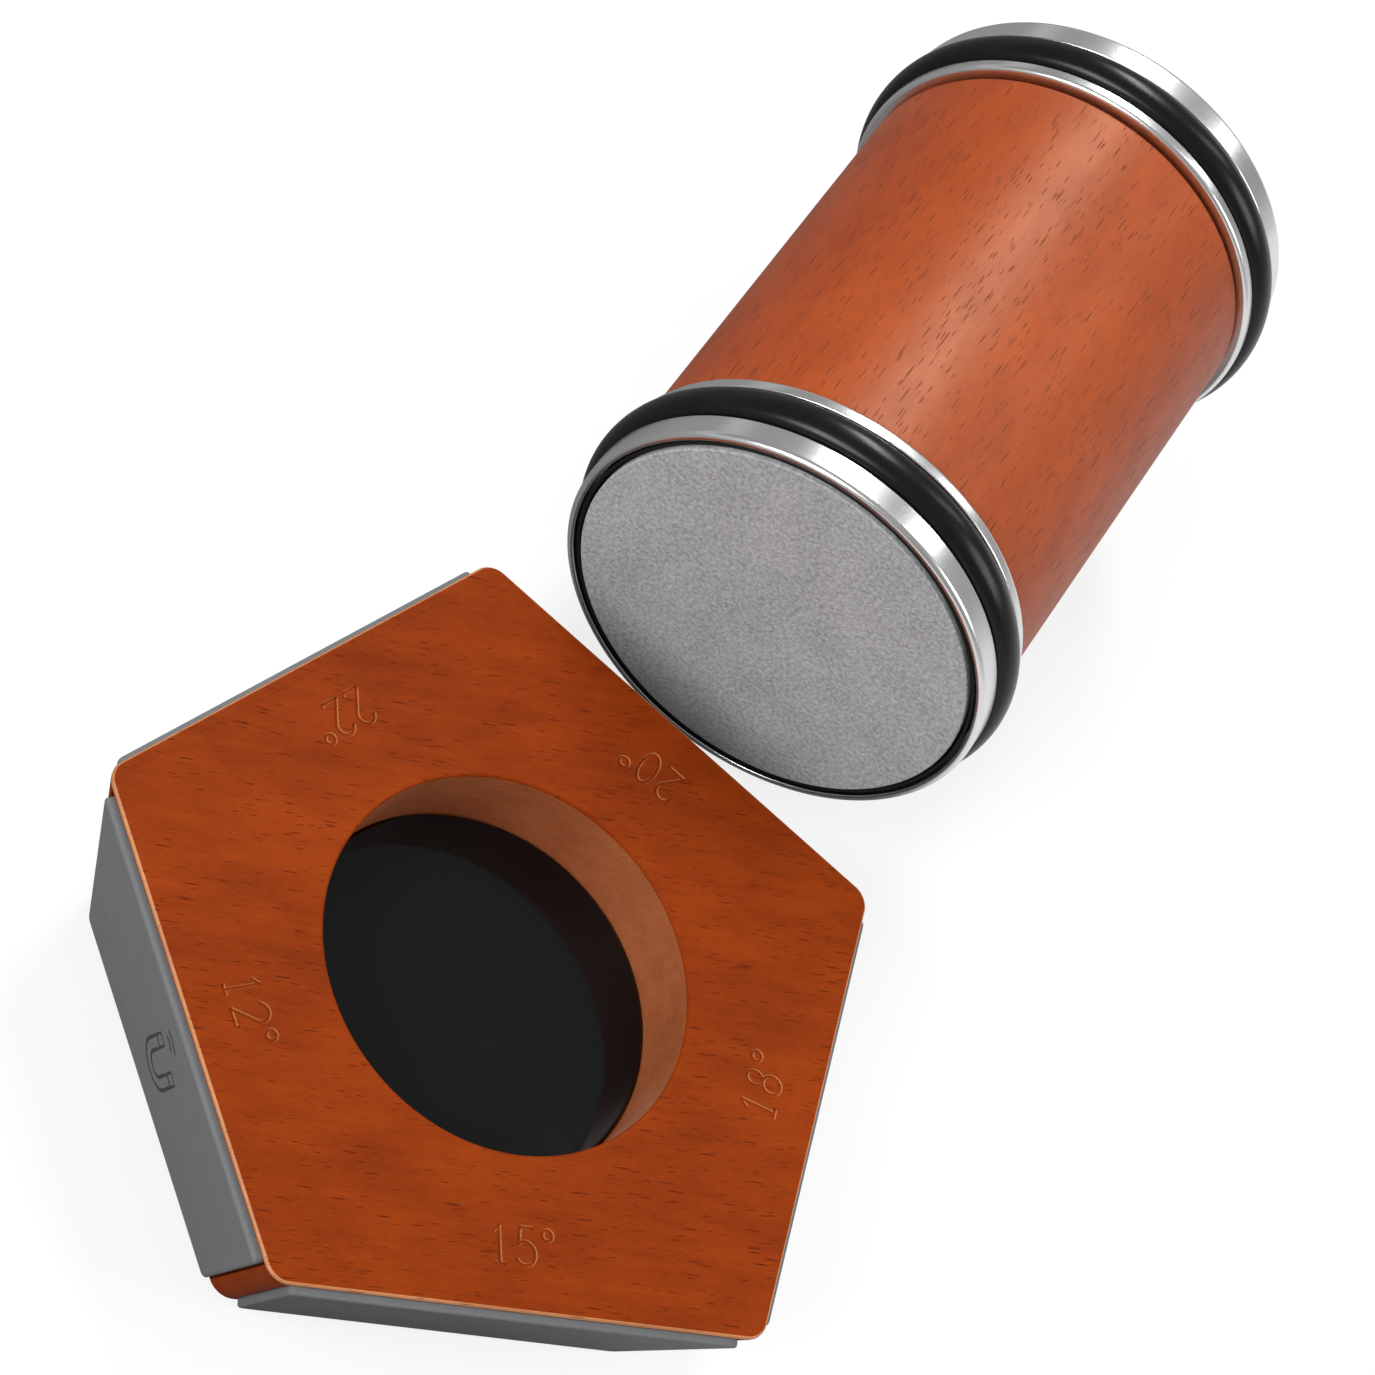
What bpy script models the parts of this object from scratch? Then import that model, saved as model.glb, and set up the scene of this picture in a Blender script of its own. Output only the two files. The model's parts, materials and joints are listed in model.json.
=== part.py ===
"""Rolling knife sharpener: a five-sided magnetic angle block and a roller that runs beside it.

The block lies flat with the middle of its foot at the origin. Each of its five sides leans in
towards the foot by another sharpening angle and carries a padded row of magnets. The roller
stands on its two tyres beyond the side that faces +Y, with its axle along Y. Its wooden barrel
stays in the hand while the axle and both wheels turn inside it on two ball bearings. One wheel
carries a diamond plate, which faces the block, and the other a grooved honing plate.
"""

import math

import bmesh
import bpy
from mathutils import Matrix, Vector

MM = 0.001

# Fits
FIT_GAP = 0.3 * MM
RUNNING_GAP = 0.4 * MM
CUT_OVERRUN = 2.0 * MM
MERGE_DISTANCE = 0.002 * MM

# Roundness of turned pieces
WIDE_STEPS = 48
MIDDLE_STEPS = 32
NARROW_STEPS = 24

# Block
BLOCK_CORNER_RADIUS = 52.5 * MM
BLOCK_WOOD_HEIGHT = 22.4 * MM
BLOCK_CORNER_ROUNDING = 2.0 * MM
BLOCK_EDGE_CHAMFER = 0.6 * MM
BLADE_ANGLES = (20, 22, 12, 15, 18)
FIRST_SIDE_DIRECTION = 90
CORNER_STEPS = 3

# Recess in the top of the block
RECESS_DIAMETER = 47.0 * MM
RECESS_DEPTH = 10.8 * MM
RECESS_PAD_THICKNESS = 1.5 * MM
RECESS_PAD_ROUNDING = 0.3 * MM

# Side pads and the magnets behind them
SIDE_PAD_THICKNESS = 2.2 * MM
SIDE_PAD_PROUD = 1.0 * MM
SIDE_PAD_TOP_MARGIN = 0.9 * MM
SIDE_PAD_BOTTOM_MARGIN = 0.9 * MM
SIDE_PAD_CORNER_MARGIN = 2.4 * MM
SIDE_PAD_ROUNDING = 0.5 * MM
MAGNET_LENGTH = 20.0 * MM
MAGNET_HEIGHT = 10.0 * MM
MAGNET_THICKNESS = 4.0 * MM
MAGNET_SPACING = 23.0 * MM
MAGNET_CHAMFER = 0.4 * MM
MAGNETS_PER_SIDE = 2

# Foot under the block
FOOT_THICKNESS = 1.6 * MM
FOOT_PROUD = 0.8 * MM
FOOT_MARGIN = 4.4 * MM
FOOT_ROUNDING = 0.3 * MM

# Roller
BLADE_GAP = 16.0 * MM
TYRE_DIAMETER = 60.0 * MM
TYRE_DEPTH = 5.5 * MM
TYRE_PAST_RIM = 1.3 * MM
TYRE_PAST_FLANGE = 1.2 * MM
TYRE_SHOULDER_DROP = 1.9 * MM
TYRE_CROWN_STEPS = 6
BARREL_LENGTH = 67.0 * MM
BARREL_BORE_DIAMETER = 16.4 * MM
BARREL_EDGE_CHAMFER = 0.6 * MM

# Wheels
FLANGE_PAST_BARREL = 1.3 * MM
FLANGE_WIDTH = 1.8 * MM
FLANGE_CHAMFER = 0.4 * MM
GROOVE_WIDTH = 5.6 * MM
RIM_WALL = 1.1 * MM
RIM_WIDTH = 3.9 * MM
RIM_ROUNDING = 0.8 * MM
RIM_LIP_ROUNDING = 0.3 * MM
RIM_ROUNDING_STEPS = 3
AXLE_SOCKET_DEPTH = 3.0 * MM
HUB_WALL = 1.6 * MM

# Working plates, and the black magnetic cups that hold them
PLATE_THICKNESS = 1.6 * MM
PLATE_PROUD = 0.1 * MM
PLATE_CHAMFER = 0.25 * MM
CUP_FLOOR_THICKNESS = 0.8 * MM
CUP_WALL = 0.5 * MM
CUP_WALL_DROP = 0.3 * MM
HONING_GROOVE_COUNT = 4
HONING_GROOVE_PITCH = 5.2 * MM
HONING_GROOVE_WIDTH = 1.0 * MM
HONING_GROOVE_DEPTH = 0.35 * MM
HONING_FIRST_GROOVE_RADIUS = 5.4 * MM

# Ball bearings
BEARING_DIAMETER = 22.0 * MM
BEARING_BORE = 8.0 * MM
BEARING_WIDTH = 7.0 * MM
BEARING_RECESS = 1.0 * MM
BALL_SHARE = 0.566
LAND_SHARE = 0.757
RING_CHAMFER = 0.3 * MM
RACEWAY_STEPS = 4
BALL_COUNT = 7
BALL_SEGMENTS = 12
BALL_RINGS = 6
CAGE_WALL = 0.9 * MM
CAGE_WIDTH = 5.8 * MM
CAGE_POCKET_SEGMENTS = 16

# Screws that hold the wheels to the axle, and the spacer tube between the bearings
SCREW_DIAMETER = 5.0 * MM
SCREW_LENGTH = 14.0 * MM
SCREW_HEAD_DIAMETER = 9.6 * MM
SCREW_HEAD_EDGE = 0.4 * MM
SCREW_SOCKET_SIZE = 3.0 * MM
SCREW_SOCKET_DEPTH = 1.6 * MM
TAPPED_BORE_EXTRA = 2.0 * MM
AXLE_CHAMFER = 0.3 * MM
SPACER_WALL = 1.5 * MM

# Sizes that follow from the ones above
side_reach = BLOCK_CORNER_RADIUS * math.cos(math.pi / len(BLADE_ANGLES))
block_top = FOOT_PROUD + BLOCK_WOOD_HEIGHT
groove_radius = TYRE_DIAMETER / 2 - TYRE_DEPTH
rim_radius = TYRE_DIAMETER / 2 - TYRE_PAST_RIM
flange_radius = TYRE_DIAMETER / 2 - TYRE_PAST_FLANGE
barrel_radius = flange_radius - FLANGE_PAST_BARREL
wheel_width = FLANGE_WIDTH + GROOVE_WIDTH + RIM_WIDTH
barrel_end = BARREL_LENGTH / 2
flange_face = barrel_end + RUNNING_GAP
rim_face = flange_face + wheel_width
plate_face = rim_face + PLATE_PROUD
plate_back = plate_face - PLATE_THICKNESS
cup_floor_face = plate_back - FIT_GAP
cup_back = cup_floor_face - CUP_FLOOR_THICKNESS
pocket_floor = cup_back - FIT_GAP
pocket_radius = rim_radius - RIM_WALL
cup_radius = pocket_radius - FIT_GAP
cup_inner_radius = cup_radius - CUP_WALL
plate_radius = cup_inner_radius - FIT_GAP
bearing_face = barrel_end - BEARING_RECESS
bearing_back = bearing_face - BEARING_WIDTH
bearing_middle = (bearing_face + bearing_back) / 2
seat_radius = BEARING_DIAMETER / 2 + FIT_GAP
seat_floor = bearing_back - FIT_GAP
ball_circle_radius = (BEARING_DIAMETER + BEARING_BORE) / 4
ball_radius = BALL_SHARE * (BEARING_DIAMETER - BEARING_BORE) / 4
land_offset = LAND_SHARE * ball_radius
raceway_radius = ball_radius + FIT_GAP
axle_radius = BEARING_BORE / 2 - FIT_GAP
axle_end = flange_face + AXLE_SOCKET_DEPTH - FIT_GAP
screw_head_face = pocket_floor - FIT_GAP
roller_middle = Vector((0, side_reach + BLADE_GAP + plate_face, TYRE_DIAMETER / 2))

WOOD = dict(name="stained_beech", colour=(0.37, 0.085, 0.022), roughness=0.42, metallic=0.0)
PAD = dict(name="grey_side_pad", colour=(0.12, 0.125, 0.13), roughness=0.6, metallic=0.0)
BLACK_PAD = dict(name="black_recess_pad", colour=(0.006, 0.007, 0.008), roughness=0.2, metallic=0.0)
RUBBER = dict(name="black_rubber", colour=(0.011, 0.012, 0.013), roughness=0.45, metallic=0.0)
POLISHED_STEEL = dict(name="polished_steel", colour=(0.62, 0.62, 0.61), roughness=0.18, metallic=1.0)
BEARING_STEEL = dict(name="bearing_steel", colour=(0.52, 0.53, 0.54), roughness=0.25, metallic=1.0)
BRASS = dict(name="brass_cage", colour=(0.6, 0.42, 0.16), roughness=0.35, metallic=1.0)
DIAMOND = dict(name="diamond_grit", colour=(0.33, 0.32, 0.33), roughness=0.75, metallic=0.3)
HONING_STEEL = dict(name="honing_steel", colour=(0.5, 0.5, 0.5), roughness=0.3, metallic=1.0)
MAGNET_RUBBER = dict(name="magnet_rubber", colour=(0.01, 0.01, 0.01), roughness=0.7, metallic=0.0)
NICKEL = dict(name="nickel_magnet", colour=(0.58, 0.56, 0.52), roughness=0.28, metallic=1.0)


def clear_scene():
    """Remove every object, so that the model starts from nothing."""
    for item in list(bpy.data.objects):
        bpy.data.objects.remove(item, do_unlink=True)


def new_collection(name):
    """A collection of that name in the scene."""
    group = bpy.data.collections.new(name)
    bpy.context.scene.collection.children.link(group)
    return group


def make_material(name, colour, roughness, metallic):
    """A Principled material, made once for each finish."""
    found = bpy.data.materials.get(name)
    if found:
        return found
    finish = bpy.data.materials.new(name)
    finish.use_nodes = True
    shader = finish.node_tree.nodes["Principled BSDF"]
    shader.inputs["Base Color"].default_value = (*colour, 1.0)
    shader.inputs["Roughness"].default_value = roughness
    shader.inputs["Metallic"].default_value = metallic
    finish.diffuse_color = (*colour, 1.0)
    return finish


def add_object(name, mesh, group, finish=None, parent=None):
    """An object for a mesh, in a collection, with its finish and parent."""
    item = bpy.data.objects.new(name, mesh)
    group.objects.link(item)
    if finish:
        item.data.materials.append(make_material(**finish))
    item.parent = parent
    return item


def add_empty(name, group, matrix, parent=None):
    """An empty that carries the pieces of one sub-assembly."""
    carrier = bpy.data.objects.new(name, None)
    carrier.empty_display_size = BEARING_BORE
    group.objects.link(carrier)
    carrier.parent = parent
    carrier.matrix_basis = matrix
    return carrier


def hide_cutter(item):
    """Show a cutter as wires only and keep it out of renders."""
    item.hide_render = True
    item.display_type = "WIRE"
    return item


def subtract(item, cutter):
    """Cut one object's shape out of another with a Boolean."""
    cut = item.modifiers.new("cut_" + cutter.name, "BOOLEAN")
    cut.operation = "DIFFERENCE"
    cut.solver = "EXACT"
    cut.object = cutter


def mesh_from(name, bm):
    """A mesh made from a bmesh, with smooth round faces and sharp corners."""
    mesh = bpy.data.meshes.new(name)
    bm.to_mesh(mesh)
    bm.free()
    mesh.shade_smooth()
    mesh.set_sharp_from_angle(angle=math.radians(35))
    return mesh


def add_turned(name, profile, steps, group, finish=None, parent=None, closed=True):
    """A piece turned about local Z from (radius, height) points that run down its outer side."""
    mesh = bpy.data.meshes.new(name)
    edges = [(i, i + 1) for i in range(len(profile) - 1)]
    if closed:
        edges.append((len(profile) - 1, 0))
    mesh.from_pydata([(radius, 0, height) for radius, height in profile], edges, [])
    item = add_object(name, mesh, group, finish, parent)
    lathe = item.modifiers.new("turning", "SCREW")
    lathe.axis = "Z"
    lathe.steps = steps
    lathe.render_steps = steps
    lathe.use_merge_vertices = True
    lathe.merge_threshold = MERGE_DISTANCE
    lathe.use_smooth_shade = True
    return item


def arc(centre, radius, start, end, steps):
    """Points on an arc in a profile plane, from one angle in degrees to another."""
    points = []
    for i in range(steps + 1):
        angle = math.radians(start + (end - start) * i / steps)
        points.append((centre[0] + radius * math.cos(angle), centre[1] + radius * math.sin(angle)))
    return points


def prism_mesh(name, outline, bottom, top):
    """A closed slab with a flat outline in XY, made from a filled curve, between two heights."""
    curve = bpy.data.curves.new(name, "CURVE")
    curve.dimensions = "2D"
    curve.fill_mode = "BOTH"
    curve.extrude = (top - bottom) / 2
    spline = curve.splines.new("POLY")
    spline.points.add(len(outline) - 1)
    for point, place in zip(spline.points, outline):
        point.co = (place[0], place[1], 0, 1)
    spline.use_cyclic_u = True
    drawn = bpy.data.objects.new(name, curve)
    bpy.context.scene.collection.objects.link(drawn)
    evaluated = drawn.evaluated_get(bpy.context.evaluated_depsgraph_get())
    mesh = bpy.data.meshes.new_from_object(evaluated)
    bpy.data.objects.remove(drawn)
    bpy.data.curves.remove(curve)
    bm = bmesh.new()
    bm.from_mesh(mesh)
    bmesh.ops.remove_doubles(bm, verts=bm.verts, dist=MERGE_DISTANCE)
    bmesh.ops.translate(bm, verts=bm.verts, vec=(0, 0, (top + bottom) / 2))
    bmesh.ops.recalc_face_normals(bm, faces=bm.faces)
    bm.to_mesh(mesh)
    bm.free()
    mesh.name = name
    return mesh


def add_bevel(item, width, segments=1):
    """Round or chamfer the sharp edges of a piece."""
    bevel = item.modifiers.new("edge", "BEVEL")
    bevel.width = width
    bevel.segments = segments
    bevel.limit_method = "ANGLE"
    bevel.angle_limit = math.radians(40)


def line_crossing(first, second):
    """Where two lines cross in a plane, each given as (normal x, normal y, distance)."""
    ax, ay, a = first
    bx, by, b = second
    scale = ax * by - ay * bx
    return Vector(((a * by - b * ay) / scale, (ax * b - bx * a) / scale))


def inset_outline(corners, margins):
    """Move each edge of a convex outline inwards by its own margin, and give the new corners."""
    count = len(corners)
    middle = sum(corners, Vector((0, 0))) / count
    lines = []
    for i in range(count):
        run = (corners[(i + 1) % count] - corners[i]).normalized()
        normal = Vector((run.y, -run.x))
        if normal.dot(middle - corners[i]) > 0:
            normal.negate()
        lines.append((normal.x, normal.y, normal.dot(corners[i]) - margins[i]))
    return [line_crossing(lines[i - 1], lines[i]) for i in range(count)]


def side_direction(index):
    """The level outward direction of one side of the block."""
    angle = math.radians(FIRST_SIDE_DIRECTION + index * 360 / len(BLADE_ANGLES))
    return Vector((math.cos(angle), math.sin(angle)))


def block_outline(depth):
    """The block's sharp corners at a depth below its top; corner i joins side i to the next."""
    lines = []
    for index, lean in enumerate(BLADE_ANGLES):
        out = side_direction(index)
        lines.append((out.x, out.y, side_reach - depth * math.tan(math.radians(lean))))
    return [line_crossing(lines[i], lines[(i + 1) % len(lines)]) for i in range(len(lines))]


def side_matrix(index):
    """A side's own frame: X along its top edge, Y up the face, Z out of it, origin on the edge."""
    lean = math.radians(BLADE_ANGLES[index])
    out = side_direction(index)
    face = Vector((out.x * math.cos(lean), out.y * math.cos(lean), -math.sin(lean)))
    along = Vector((-out.y, out.x, 0))
    up = face.cross(along)
    place = Vector((out.x * side_reach, out.y * side_reach, block_top))
    turn = Matrix((along, up, face)).transposed()
    return Matrix.Translation(place) @ turn.to_4x4()


def side_corners(index):
    """The four sharp corners of a side, in its own frame."""
    to_side = side_matrix(index).inverted()
    corners = []
    for depth, order in ((0, (-1, 0)), (BLOCK_WOOD_HEIGHT, (0, -1))):
        outline = block_outline(depth)
        for step in order:
            corner = outline[(index + step) % len(outline)]
            corners.append((to_side @ Vector((corner.x, corner.y, block_top - depth))).to_2d())
    return corners


def side_pad_outline(index, growth):
    """A pad's outline on its side, made larger all round by a growth."""
    margins = (SIDE_PAD_TOP_MARGIN, SIDE_PAD_CORNER_MARGIN, SIDE_PAD_BOTTOM_MARGIN, SIDE_PAD_CORNER_MARGIN)
    return inset_outline(side_corners(index), [margin - growth for margin in margins])


def magnet_shift(slot):
    """How far along its side a magnet lies from the middle of the row."""
    return (slot - (MAGNETS_PER_SIDE - 1) / 2) * MAGNET_SPACING


def add_bar(bm, shift, growth, bottom, top):
    """Add one magnet's bar, or the space for it, to a bmesh in the frame of its row."""
    bar = bmesh.ops.create_cube(bm, size=1)["verts"]
    size = (MAGNET_LENGTH + 2 * growth, MAGNET_HEIGHT + 2 * growth, top - bottom)
    bmesh.ops.scale(bm, vec=size, verts=bar)
    bmesh.ops.translate(bm, vec=(shift, 0, (top + bottom) / 2), verts=bar)


def magnet_mesh(name, bottom, top):
    """A chamfered bar magnet between two heights."""
    bm = bmesh.new()
    add_bar(bm, 0, 0, bottom, top)
    bmesh.ops.bevel(bm, geom=bm.edges[:], offset=MAGNET_CHAMFER, segments=1, affect="EDGES")
    return mesh_from(name, bm)


def magnet_pockets_mesh(name, bottom, top):
    """The pockets for one side's row of magnets."""
    bm = bmesh.new()
    for slot in range(MAGNETS_PER_SIDE):
        add_bar(bm, magnet_shift(slot), FIT_GAP, bottom, top)
    return mesh_from(name, bm)


def side_middle(index):
    """The middle of a side's pad, in the side's frame."""
    outline = side_pad_outline(index, 0)
    return sum(outline, Vector((0, 0))) / len(outline)


def block_body_mesh():
    """The wooden block: a round blank, sawn to five leaning sides, with its edges rounded."""
    bm = bmesh.new()
    blank_radius = BLOCK_CORNER_RADIUS + CUT_OVERRUN
    bmesh.ops.create_cone(bm, cap_ends=True, segments=WIDE_STEPS, radius1=blank_radius,
                          radius2=blank_radius, depth=BLOCK_WOOD_HEIGHT)
    bmesh.ops.translate(bm, verts=bm.verts, vec=(0, 0, FOOT_PROUD + BLOCK_WOOD_HEIGHT / 2))
    for index in range(len(BLADE_ANGLES)):
        frame = side_matrix(index)
        sawn = bmesh.ops.bisect_plane(bm, geom=bm.verts[:] + bm.edges[:] + bm.faces[:],
                                      plane_co=frame.translation, plane_no=frame.col[2].to_3d(),
                                      clear_outer=True)
        cut_edges = [part for part in sawn["geom_cut"] if isinstance(part, bmesh.types.BMEdge)]
        bmesh.ops.edgeloop_fill(bm, edges=cut_edges)
    bmesh.ops.recalc_face_normals(bm, faces=bm.faces)
    corners = [edge for edge in bm.edges if abs(edge.verts[0].co.z - edge.verts[1].co.z) > FIT_GAP]
    bmesh.ops.bevel(bm, geom=corners, offset=BLOCK_CORNER_ROUNDING, segments=CORNER_STEPS,
                    profile=0.5, affect="EDGES", clamp_overlap=True)
    rims = [edge for edge in bm.edges if abs(edge.calc_face_angle(0)) > math.radians(40)]
    bmesh.ops.bevel(bm, geom=rims, offset=BLOCK_EDGE_CHAMFER, segments=1, affect="EDGES")
    return mesh_from("block_body", bm)


def cylinder_mesh(name, radius, bottom, top, segments):
    """A closed upright cylinder between two heights."""
    bm = bmesh.new()
    bmesh.ops.create_cone(bm, cap_ends=True, segments=segments, radius1=radius, radius2=radius,
                          depth=top - bottom)
    bmesh.ops.translate(bm, verts=bm.verts, vec=(0, 0, (top + bottom) / 2))
    return mesh_from(name, bm)


def build_side(index, body, parts, cutters):
    """The pad and magnets of one side, and the rebate and pockets that hold them."""
    lean = BLADE_ANGLES[index]
    frame = side_matrix(index)
    rebate_floor = SIDE_PAD_PROUD - SIDE_PAD_THICKNESS - FIT_GAP
    pad = add_object(f"side_pad_{lean}",
                     prism_mesh(f"side_pad_{lean}", side_pad_outline(index, 0),
                                SIDE_PAD_PROUD - SIDE_PAD_THICKNESS, SIDE_PAD_PROUD),
                     parts, PAD)
    pad.matrix_world = frame
    add_bevel(pad, SIDE_PAD_ROUNDING)
    rebate = add_object(f"rebate_{lean}",
                        prism_mesh(f"rebate_{lean}", side_pad_outline(index, FIT_GAP),
                                   rebate_floor, CUT_OVERRUN),
                        cutters)
    rebate.matrix_world = frame
    subtract(body, hide_cutter(rebate))

    middle = side_middle(index)
    row_frame = frame @ Matrix.Translation((middle.x, middle.y, 0))
    magnet_back = rebate_floor - MAGNET_THICKNESS
    for slot in range(MAGNETS_PER_SIDE):
        magnet_name = f"magnet_{lean}_{slot + 1}"
        magnet = add_object(magnet_name, magnet_mesh(magnet_name, magnet_back, rebate_floor), parts, NICKEL)
        magnet.matrix_world = row_frame @ Matrix.Translation((magnet_shift(slot), 0, 0))
    pockets = add_object(f"magnet_pockets_{lean}",
                         magnet_pockets_mesh(f"magnet_pockets_{lean}", magnet_back - FIT_GAP, CUT_OVERRUN),
                         cutters)
    pockets.matrix_world = row_frame
    subtract(body, hide_cutter(pockets))


def build_block(parts, cutters):
    """The angle block, with its recess, foot, side pads and magnets."""
    body = add_object("block_body", block_body_mesh(), parts, WOOD)
    pad_top = block_top - RECESS_DEPTH
    recess_floor = pad_top - RECESS_PAD_THICKNESS - FIT_GAP
    recess = add_object("recess", cylinder_mesh("recess", RECESS_DIAMETER / 2, recess_floor,
                                                block_top + CUT_OVERRUN, WIDE_STEPS), cutters)
    subtract(body, hide_cutter(recess))
    pad = add_object("recess_pad", cylinder_mesh("recess_pad", RECESS_DIAMETER / 2 - FIT_GAP,
                                                 recess_floor + FIT_GAP, pad_top, WIDE_STEPS),
                     parts, BLACK_PAD)
    add_bevel(pad, RECESS_PAD_ROUNDING)

    foot_corners = inset_outline(block_outline(BLOCK_WOOD_HEIGHT), [FOOT_MARGIN] * len(BLADE_ANGLES))
    hollow_corners = inset_outline(block_outline(BLOCK_WOOD_HEIGHT),
                                   [FOOT_MARGIN - FIT_GAP] * len(BLADE_ANGLES))
    foot = add_object("foot_pad", prism_mesh("foot_pad", foot_corners, 0, FOOT_THICKNESS), parts, RUBBER)
    add_bevel(foot, FOOT_ROUNDING)
    hollow = add_object("foot_hollow", prism_mesh("foot_hollow", hollow_corners, -CUT_OVERRUN,
                                                  FOOT_THICKNESS + FIT_GAP), cutters)
    subtract(body, hide_cutter(hollow))
    for index in range(len(BLADE_ANGLES)):
        build_side(index, body, parts, cutters)


def barrel_profile():
    """The wooden grip: a plain barrel with a bearing seat in each end of its bore."""
    bore = BARREL_BORE_DIAMETER / 2
    shoulder = barrel_end - BARREL_EDGE_CHAMFER
    return [
        (seat_radius, barrel_end),
        (barrel_radius - BARREL_EDGE_CHAMFER, barrel_end),
        (barrel_radius, shoulder),
        (barrel_radius, -shoulder),
        (barrel_radius - BARREL_EDGE_CHAMFER, -barrel_end),
        (seat_radius, -barrel_end),
        (seat_radius, -seat_floor),
        (bore, -seat_floor),
        (bore, seat_floor),
        (seat_radius, seat_floor),
    ]


def axle_profile():
    """The axle, with a tapped bore in each end for the wheel's screw."""
    bore = SCREW_DIAMETER / 2 + FIT_GAP
    screw_tip = screw_head_face - SCREW_LENGTH
    bore_floor = screw_tip - TAPPED_BORE_EXTRA
    shoulder = axle_end - AXLE_CHAMFER
    return [
        (0, bore_floor),
        (bore, bore_floor),
        (bore, axle_end),
        (axle_radius - AXLE_CHAMFER, axle_end),
        (axle_radius, shoulder),
        (axle_radius, -shoulder),
        (axle_radius - AXLE_CHAMFER, -axle_end),
        (bore, -axle_end),
        (bore, -bore_floor),
        (0, -bore_floor),
    ]


def spacer_profile():
    """The tube on the axle that keeps the two inner rings apart."""
    inside = BEARING_BORE / 2
    outside = inside + SPACER_WALL
    end = bearing_back - FIT_GAP
    return [(inside, end), (outside, end), (outside, -end), (inside, -end)]


def wheel_profile():
    """A wheel: rounded rim, tyre groove, thin flange, hub with axle socket, and front pocket."""
    groove_inner = flange_face + FLANGE_WIDTH
    groove_outer = groove_inner + GROOVE_WIDTH
    socket = BEARING_BORE / 2
    socket_floor = flange_face + AXLE_SOCKET_DEPTH
    hub_end = bearing_face + FIT_GAP
    screw_hole = SCREW_DIAMETER / 2 + FIT_GAP
    head = SCREW_HEAD_DIAMETER / 2 + FIT_GAP
    cone_floor = pocket_floor - 2 * FIT_GAP - SCREW_HEAD_EDGE - (SCREW_HEAD_DIAMETER - SCREW_DIAMETER) / 2
    lip_centre = (pocket_radius + RIM_LIP_ROUNDING, rim_face - RIM_LIP_ROUNDING)
    nose_centre = (rim_radius - RIM_ROUNDING, rim_face - RIM_ROUNDING)
    return [
        *arc(lip_centre, RIM_LIP_ROUNDING, 180, 90, 1),
        *arc(nose_centre, RIM_ROUNDING, 90, 0, RIM_ROUNDING_STEPS),
        (rim_radius, groove_outer),
        (groove_radius, groove_outer),
        (groove_radius, groove_inner),
        (flange_radius, groove_inner),
        (flange_radius, flange_face + FLANGE_CHAMFER),
        (flange_radius - FLANGE_CHAMFER, flange_face),
        (socket + HUB_WALL, flange_face),
        (socket + HUB_WALL, hub_end),
        (socket, hub_end),
        (socket, socket_floor),
        (screw_hole, socket_floor),
        (screw_hole, cone_floor),
        (head, pocket_floor - SCREW_HEAD_EDGE - 2 * FIT_GAP),
        (head, pocket_floor),
        (pocket_radius, pocket_floor),
    ]


def tyre_profile():
    """A rubber tyre in its groove, with a round crown that stands out past the rim."""
    inner = flange_face + FLANGE_WIDTH + FIT_GAP
    outer = inner + GROOVE_WIDTH - 2 * FIT_GAP
    middle = (inner + outer) / 2
    root = groove_radius + FIT_GAP
    shoulder = TYRE_DIAMETER / 2 - TYRE_SHOULDER_DROP
    crown = []
    for i in range(TYRE_CROWN_STEPS + 1):
        angle = math.radians(90 - 180 * i / TYRE_CROWN_STEPS)
        crown.append((shoulder + TYRE_SHOULDER_DROP * math.cos(angle),
                      middle + (outer - inner) / 2 * math.sin(angle)))
    return [(root, outer), *crown, (root, inner)]


def cup_profile():
    """The thin magnetic cup that a working plate sits in."""
    return [
        (0, cup_floor_face),
        (cup_inner_radius, cup_floor_face),
        (cup_inner_radius, rim_face - CUP_WALL_DROP),
        (cup_radius, rim_face - CUP_WALL_DROP),
        (cup_radius, cup_back),
        (0, cup_back),
    ]


def diamond_plate_profile():
    """The flat diamond plate."""
    return [
        (0, plate_face),
        (plate_radius - PLATE_CHAMFER, plate_face),
        (plate_radius, plate_face - PLATE_CHAMFER),
        (plate_radius, plate_back),
        (0, plate_back),
    ]


def honing_plate_profile():
    """The steel honing plate, with ring-shaped grooves in its face."""
    profile = diamond_plate_profile()
    grooves = []
    for i in range(HONING_GROOVE_COUNT):
        middle = HONING_FIRST_GROOVE_RADIUS + i * HONING_GROOVE_PITCH
        grooves.append((middle - HONING_GROOVE_WIDTH / 2, plate_face))
        grooves.append((middle, plate_face - HONING_GROOVE_DEPTH))
        grooves.append((middle + HONING_GROOVE_WIDTH / 2, plate_face))
    return profile[:1] + grooves + profile[1:]


def screw_profile():
    """A countersunk screw, from its head down to its tip."""
    head = SCREW_HEAD_DIAMETER / 2
    shank = SCREW_DIAMETER / 2
    edge = screw_head_face - SCREW_HEAD_EDGE
    tip = screw_head_face - SCREW_LENGTH
    return [
        (0, screw_head_face),
        (head, screw_head_face),
        (head, edge),
        (shank, edge - (head - shank)),
        (shank, tip),
        (0, tip),
    ]


def outer_ring_profile():
    """A bearing's outer ring, with the balls' raceway inside it."""
    radius = BEARING_DIAMETER / 2
    land = ball_circle_radius + land_offset
    swing = math.degrees(math.acos(land_offset / raceway_radius))
    raceway = arc((ball_circle_radius, bearing_middle), raceway_radius, -swing, swing, RACEWAY_STEPS)
    return [
        (land, bearing_face),
        (radius - RING_CHAMFER, bearing_face),
        (radius, bearing_face - RING_CHAMFER),
        (radius, bearing_back + RING_CHAMFER),
        (radius - RING_CHAMFER, bearing_back),
        (land, bearing_back),
        *raceway,
    ]


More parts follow.
